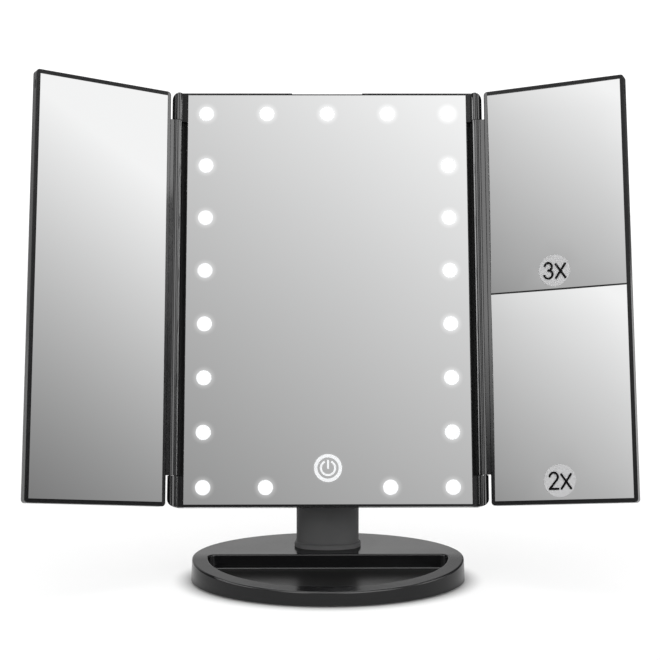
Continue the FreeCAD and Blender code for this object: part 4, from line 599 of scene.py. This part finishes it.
# where one surface of the studio gives way to the next
LEFT_CORNER = (-30, -18)
RIGHT_CORNER = (25, 45)
WALL_TOP = (33, 42)
FRONT_SIDES = (66, 90)  # either way
REAR_LEFT = (-142, -108)
REAR_RIGHT = (152, 176)
CEILING_LIGHT = 0.3
SIDE_LIGHT = 0.14
REAR_LIGHT = 0.8
# upright soft boxes round the front: the directions of their two sides, and their brightness
UPRIGHT_BOXES = ((-88, -50, 6.2), (-30, -13, 5.0), (10, 48, 6.2), (66, 98, 6.2))
UPRIGHT_HEIGHTS = (12, 38)
TOP_BOX_HEIGHTS = (45, 82)
TOP_BOX_END = (47, 53)  # either way
TOP_BOX_LIGHT = 6.0
BOX_EDGE = 2


def studio_wall(tree, side, height, wall):
    """Light from a wall whose tone changes steadily with the direction's two angles, in degrees."""
    sideways = tree.math("MULTIPLY", tree.math("SUBTRACT", side, wall["right"]), wall["per_right"])
    upward = tree.math("MULTIPLY", tree.math("SUBTRACT", height, wall["up"]), wall["per_up"])
    shade = tree.math("ADD", tree.math("ADD", sideways, upward), wall["tone"])
    shade = tree.math("MINIMUM", tree.math("MAXIMUM", shade, WALL_DARKEST), WALL_PALEST)
    return tree.math("POWER", shade, SCREEN_GAMMA)


def band(tree, angle, low, high):
    """1 between two angles and 0 outside them, with soft edges."""
    rise = tree.rise(angle, low - BOX_EDGE, low + BOX_EDGE)
    fall = tree.fall(angle, high - BOX_EDGE, high + BOX_EDGE)
    return tree.math("MULTIPLY", rise, fall)


def studio(tree):
    """The light from each direction: shaded walls in front, soft boxes beside and above, a pale rear wall.

    A path that has bounced off a matt surface doesn't see the boxes, which keeps the labels free of grain."""
    direction = tree.add("ShaderNodeTexCoord").outputs["Generated"]
    axes = tree.add("ShaderNodeSeparateXYZ", {0: direction}).outputs
    side = tree.math("MULTIPLY", tree.math("ARCTAN2", axes[0], tree.math("MULTIPLY", axes[1], -1.0)),
                     math.degrees(1))
    height = tree.math("MULTIPLY", tree.math("ARCSINE", axes[2]), math.degrees(1))
    turn = tree.math("ABSOLUTE", side)
    facing = studio_wall(tree, side, height, CENTRE_WALL)
    to_right = studio_wall(tree, side, height, RIGHT_WALL)
    to_left = studio_wall(tree, side, height, LEFT_WALL)
    light = tree.mix(tree.rise(side, *RIGHT_CORNER), facing, to_right)
    light = tree.mix(tree.fall(side, *LEFT_CORNER), light, to_left)
    light = tree.mix(tree.rise(height, *WALL_TOP), light, CEILING_LIGHT)
    light = tree.mix(tree.rise(turn, *FRONT_SIDES), light, SIDE_LIGHT)
    rear = tree.math("MAXIMUM", tree.rise(side, *REAR_RIGHT), tree.fall(side, *REAR_LEFT))
    light = tree.mix(rear, light, REAR_LIGHT)
    upright = 0.0
    for low, high, power in UPRIGHT_BOXES:
        upright = tree.math("ADD", upright, tree.math("MULTIPLY", band(tree, side, low, high), power))
    upright = tree.math("MULTIPLY", upright, band(tree, height, *UPRIGHT_HEIGHTS))
    top = tree.math("MULTIPLY", band(tree, height, *TOP_BOX_HEIGHTS), tree.fall(turn, *TOP_BOX_END))
    top = tree.math("MULTIPLY", top, TOP_BOX_LIGHT)
    direct = tree.math("LESS_THAN", tree.add("ShaderNodeLightPath").outputs["Diffuse Depth"], 0.5)
    boxes = tree.math("MULTIPLY", tree.math("ADD", upright, top), direct)
    return tree.math("ADD", light, boxes)


WORLD_STRENGTH = 1.07
SEEN_DIRECTLY = 1.1


def world():
    """The studio as the object sees it. Seen directly, it is plain white."""
    scene_world = bpy.data.worlds.new("studio")
    scene_world.use_nodes = True
    bpy.context.scene.world = scene_world
    tree = Tree(scene_world.node_tree)
    seen = tree.add("ShaderNodeLightPath").outputs["Is Camera Ray"]
    light = tree.mix(seen, studio(tree), SEEN_DIRECTLY)
    background = tree.add("ShaderNodeBackground", {"Color": light, "Strength": WORLD_STRENGTH})
    tree.add("ShaderNodeOutputWorld", {"Surface": background.outputs[0]})


def overhead():
    """A broad, soft sun above, which lights everything evenly."""
    data = bpy.data.lights.new("overhead", "SUN")
    data.angle = math.radians(50)
    data.energy = 1.75
    lamp = bpy.data.objects.new("overhead", data)
    lamp.rotation_euler = (math.radians(-8), 0, 0)
    lamp.visible_glossy = False  # or the mirrors would throw patches of it onto the labels
    bpy.context.scene.collection.objects.link(lamp)


CAMERA_PLACE = (-0.0074, -0.85707, 0.23362)
CAMERA_DIP = 6.08
CAMERA_TURN = -0.57
CAMERA_LENS = 84.16


def camera():
    """The photograph's viewpoint, looking a little down, with its angles in degrees."""
    data = bpy.data.cameras.new("camera")
    data.lens = CAMERA_LENS
    data.sensor_width = 36
    eye = bpy.data.objects.new("camera", data)
    eye.location = CAMERA_PLACE
    eye.rotation_euler = (math.radians(90 - CAMERA_DIP), 0, math.radians(CAMERA_TURN))
    bpy.context.scene.collection.objects.link(eye)
    bpy.context.scene.camera = eye


paint_cad()
magnification("figure_3x", "label_3x", figure_three())
magnification("figure_2x", "label_2x", figure_two())
room()
world()
overhead()
camera()
bpy.context.scene.view_settings.view_transform = "Standard"
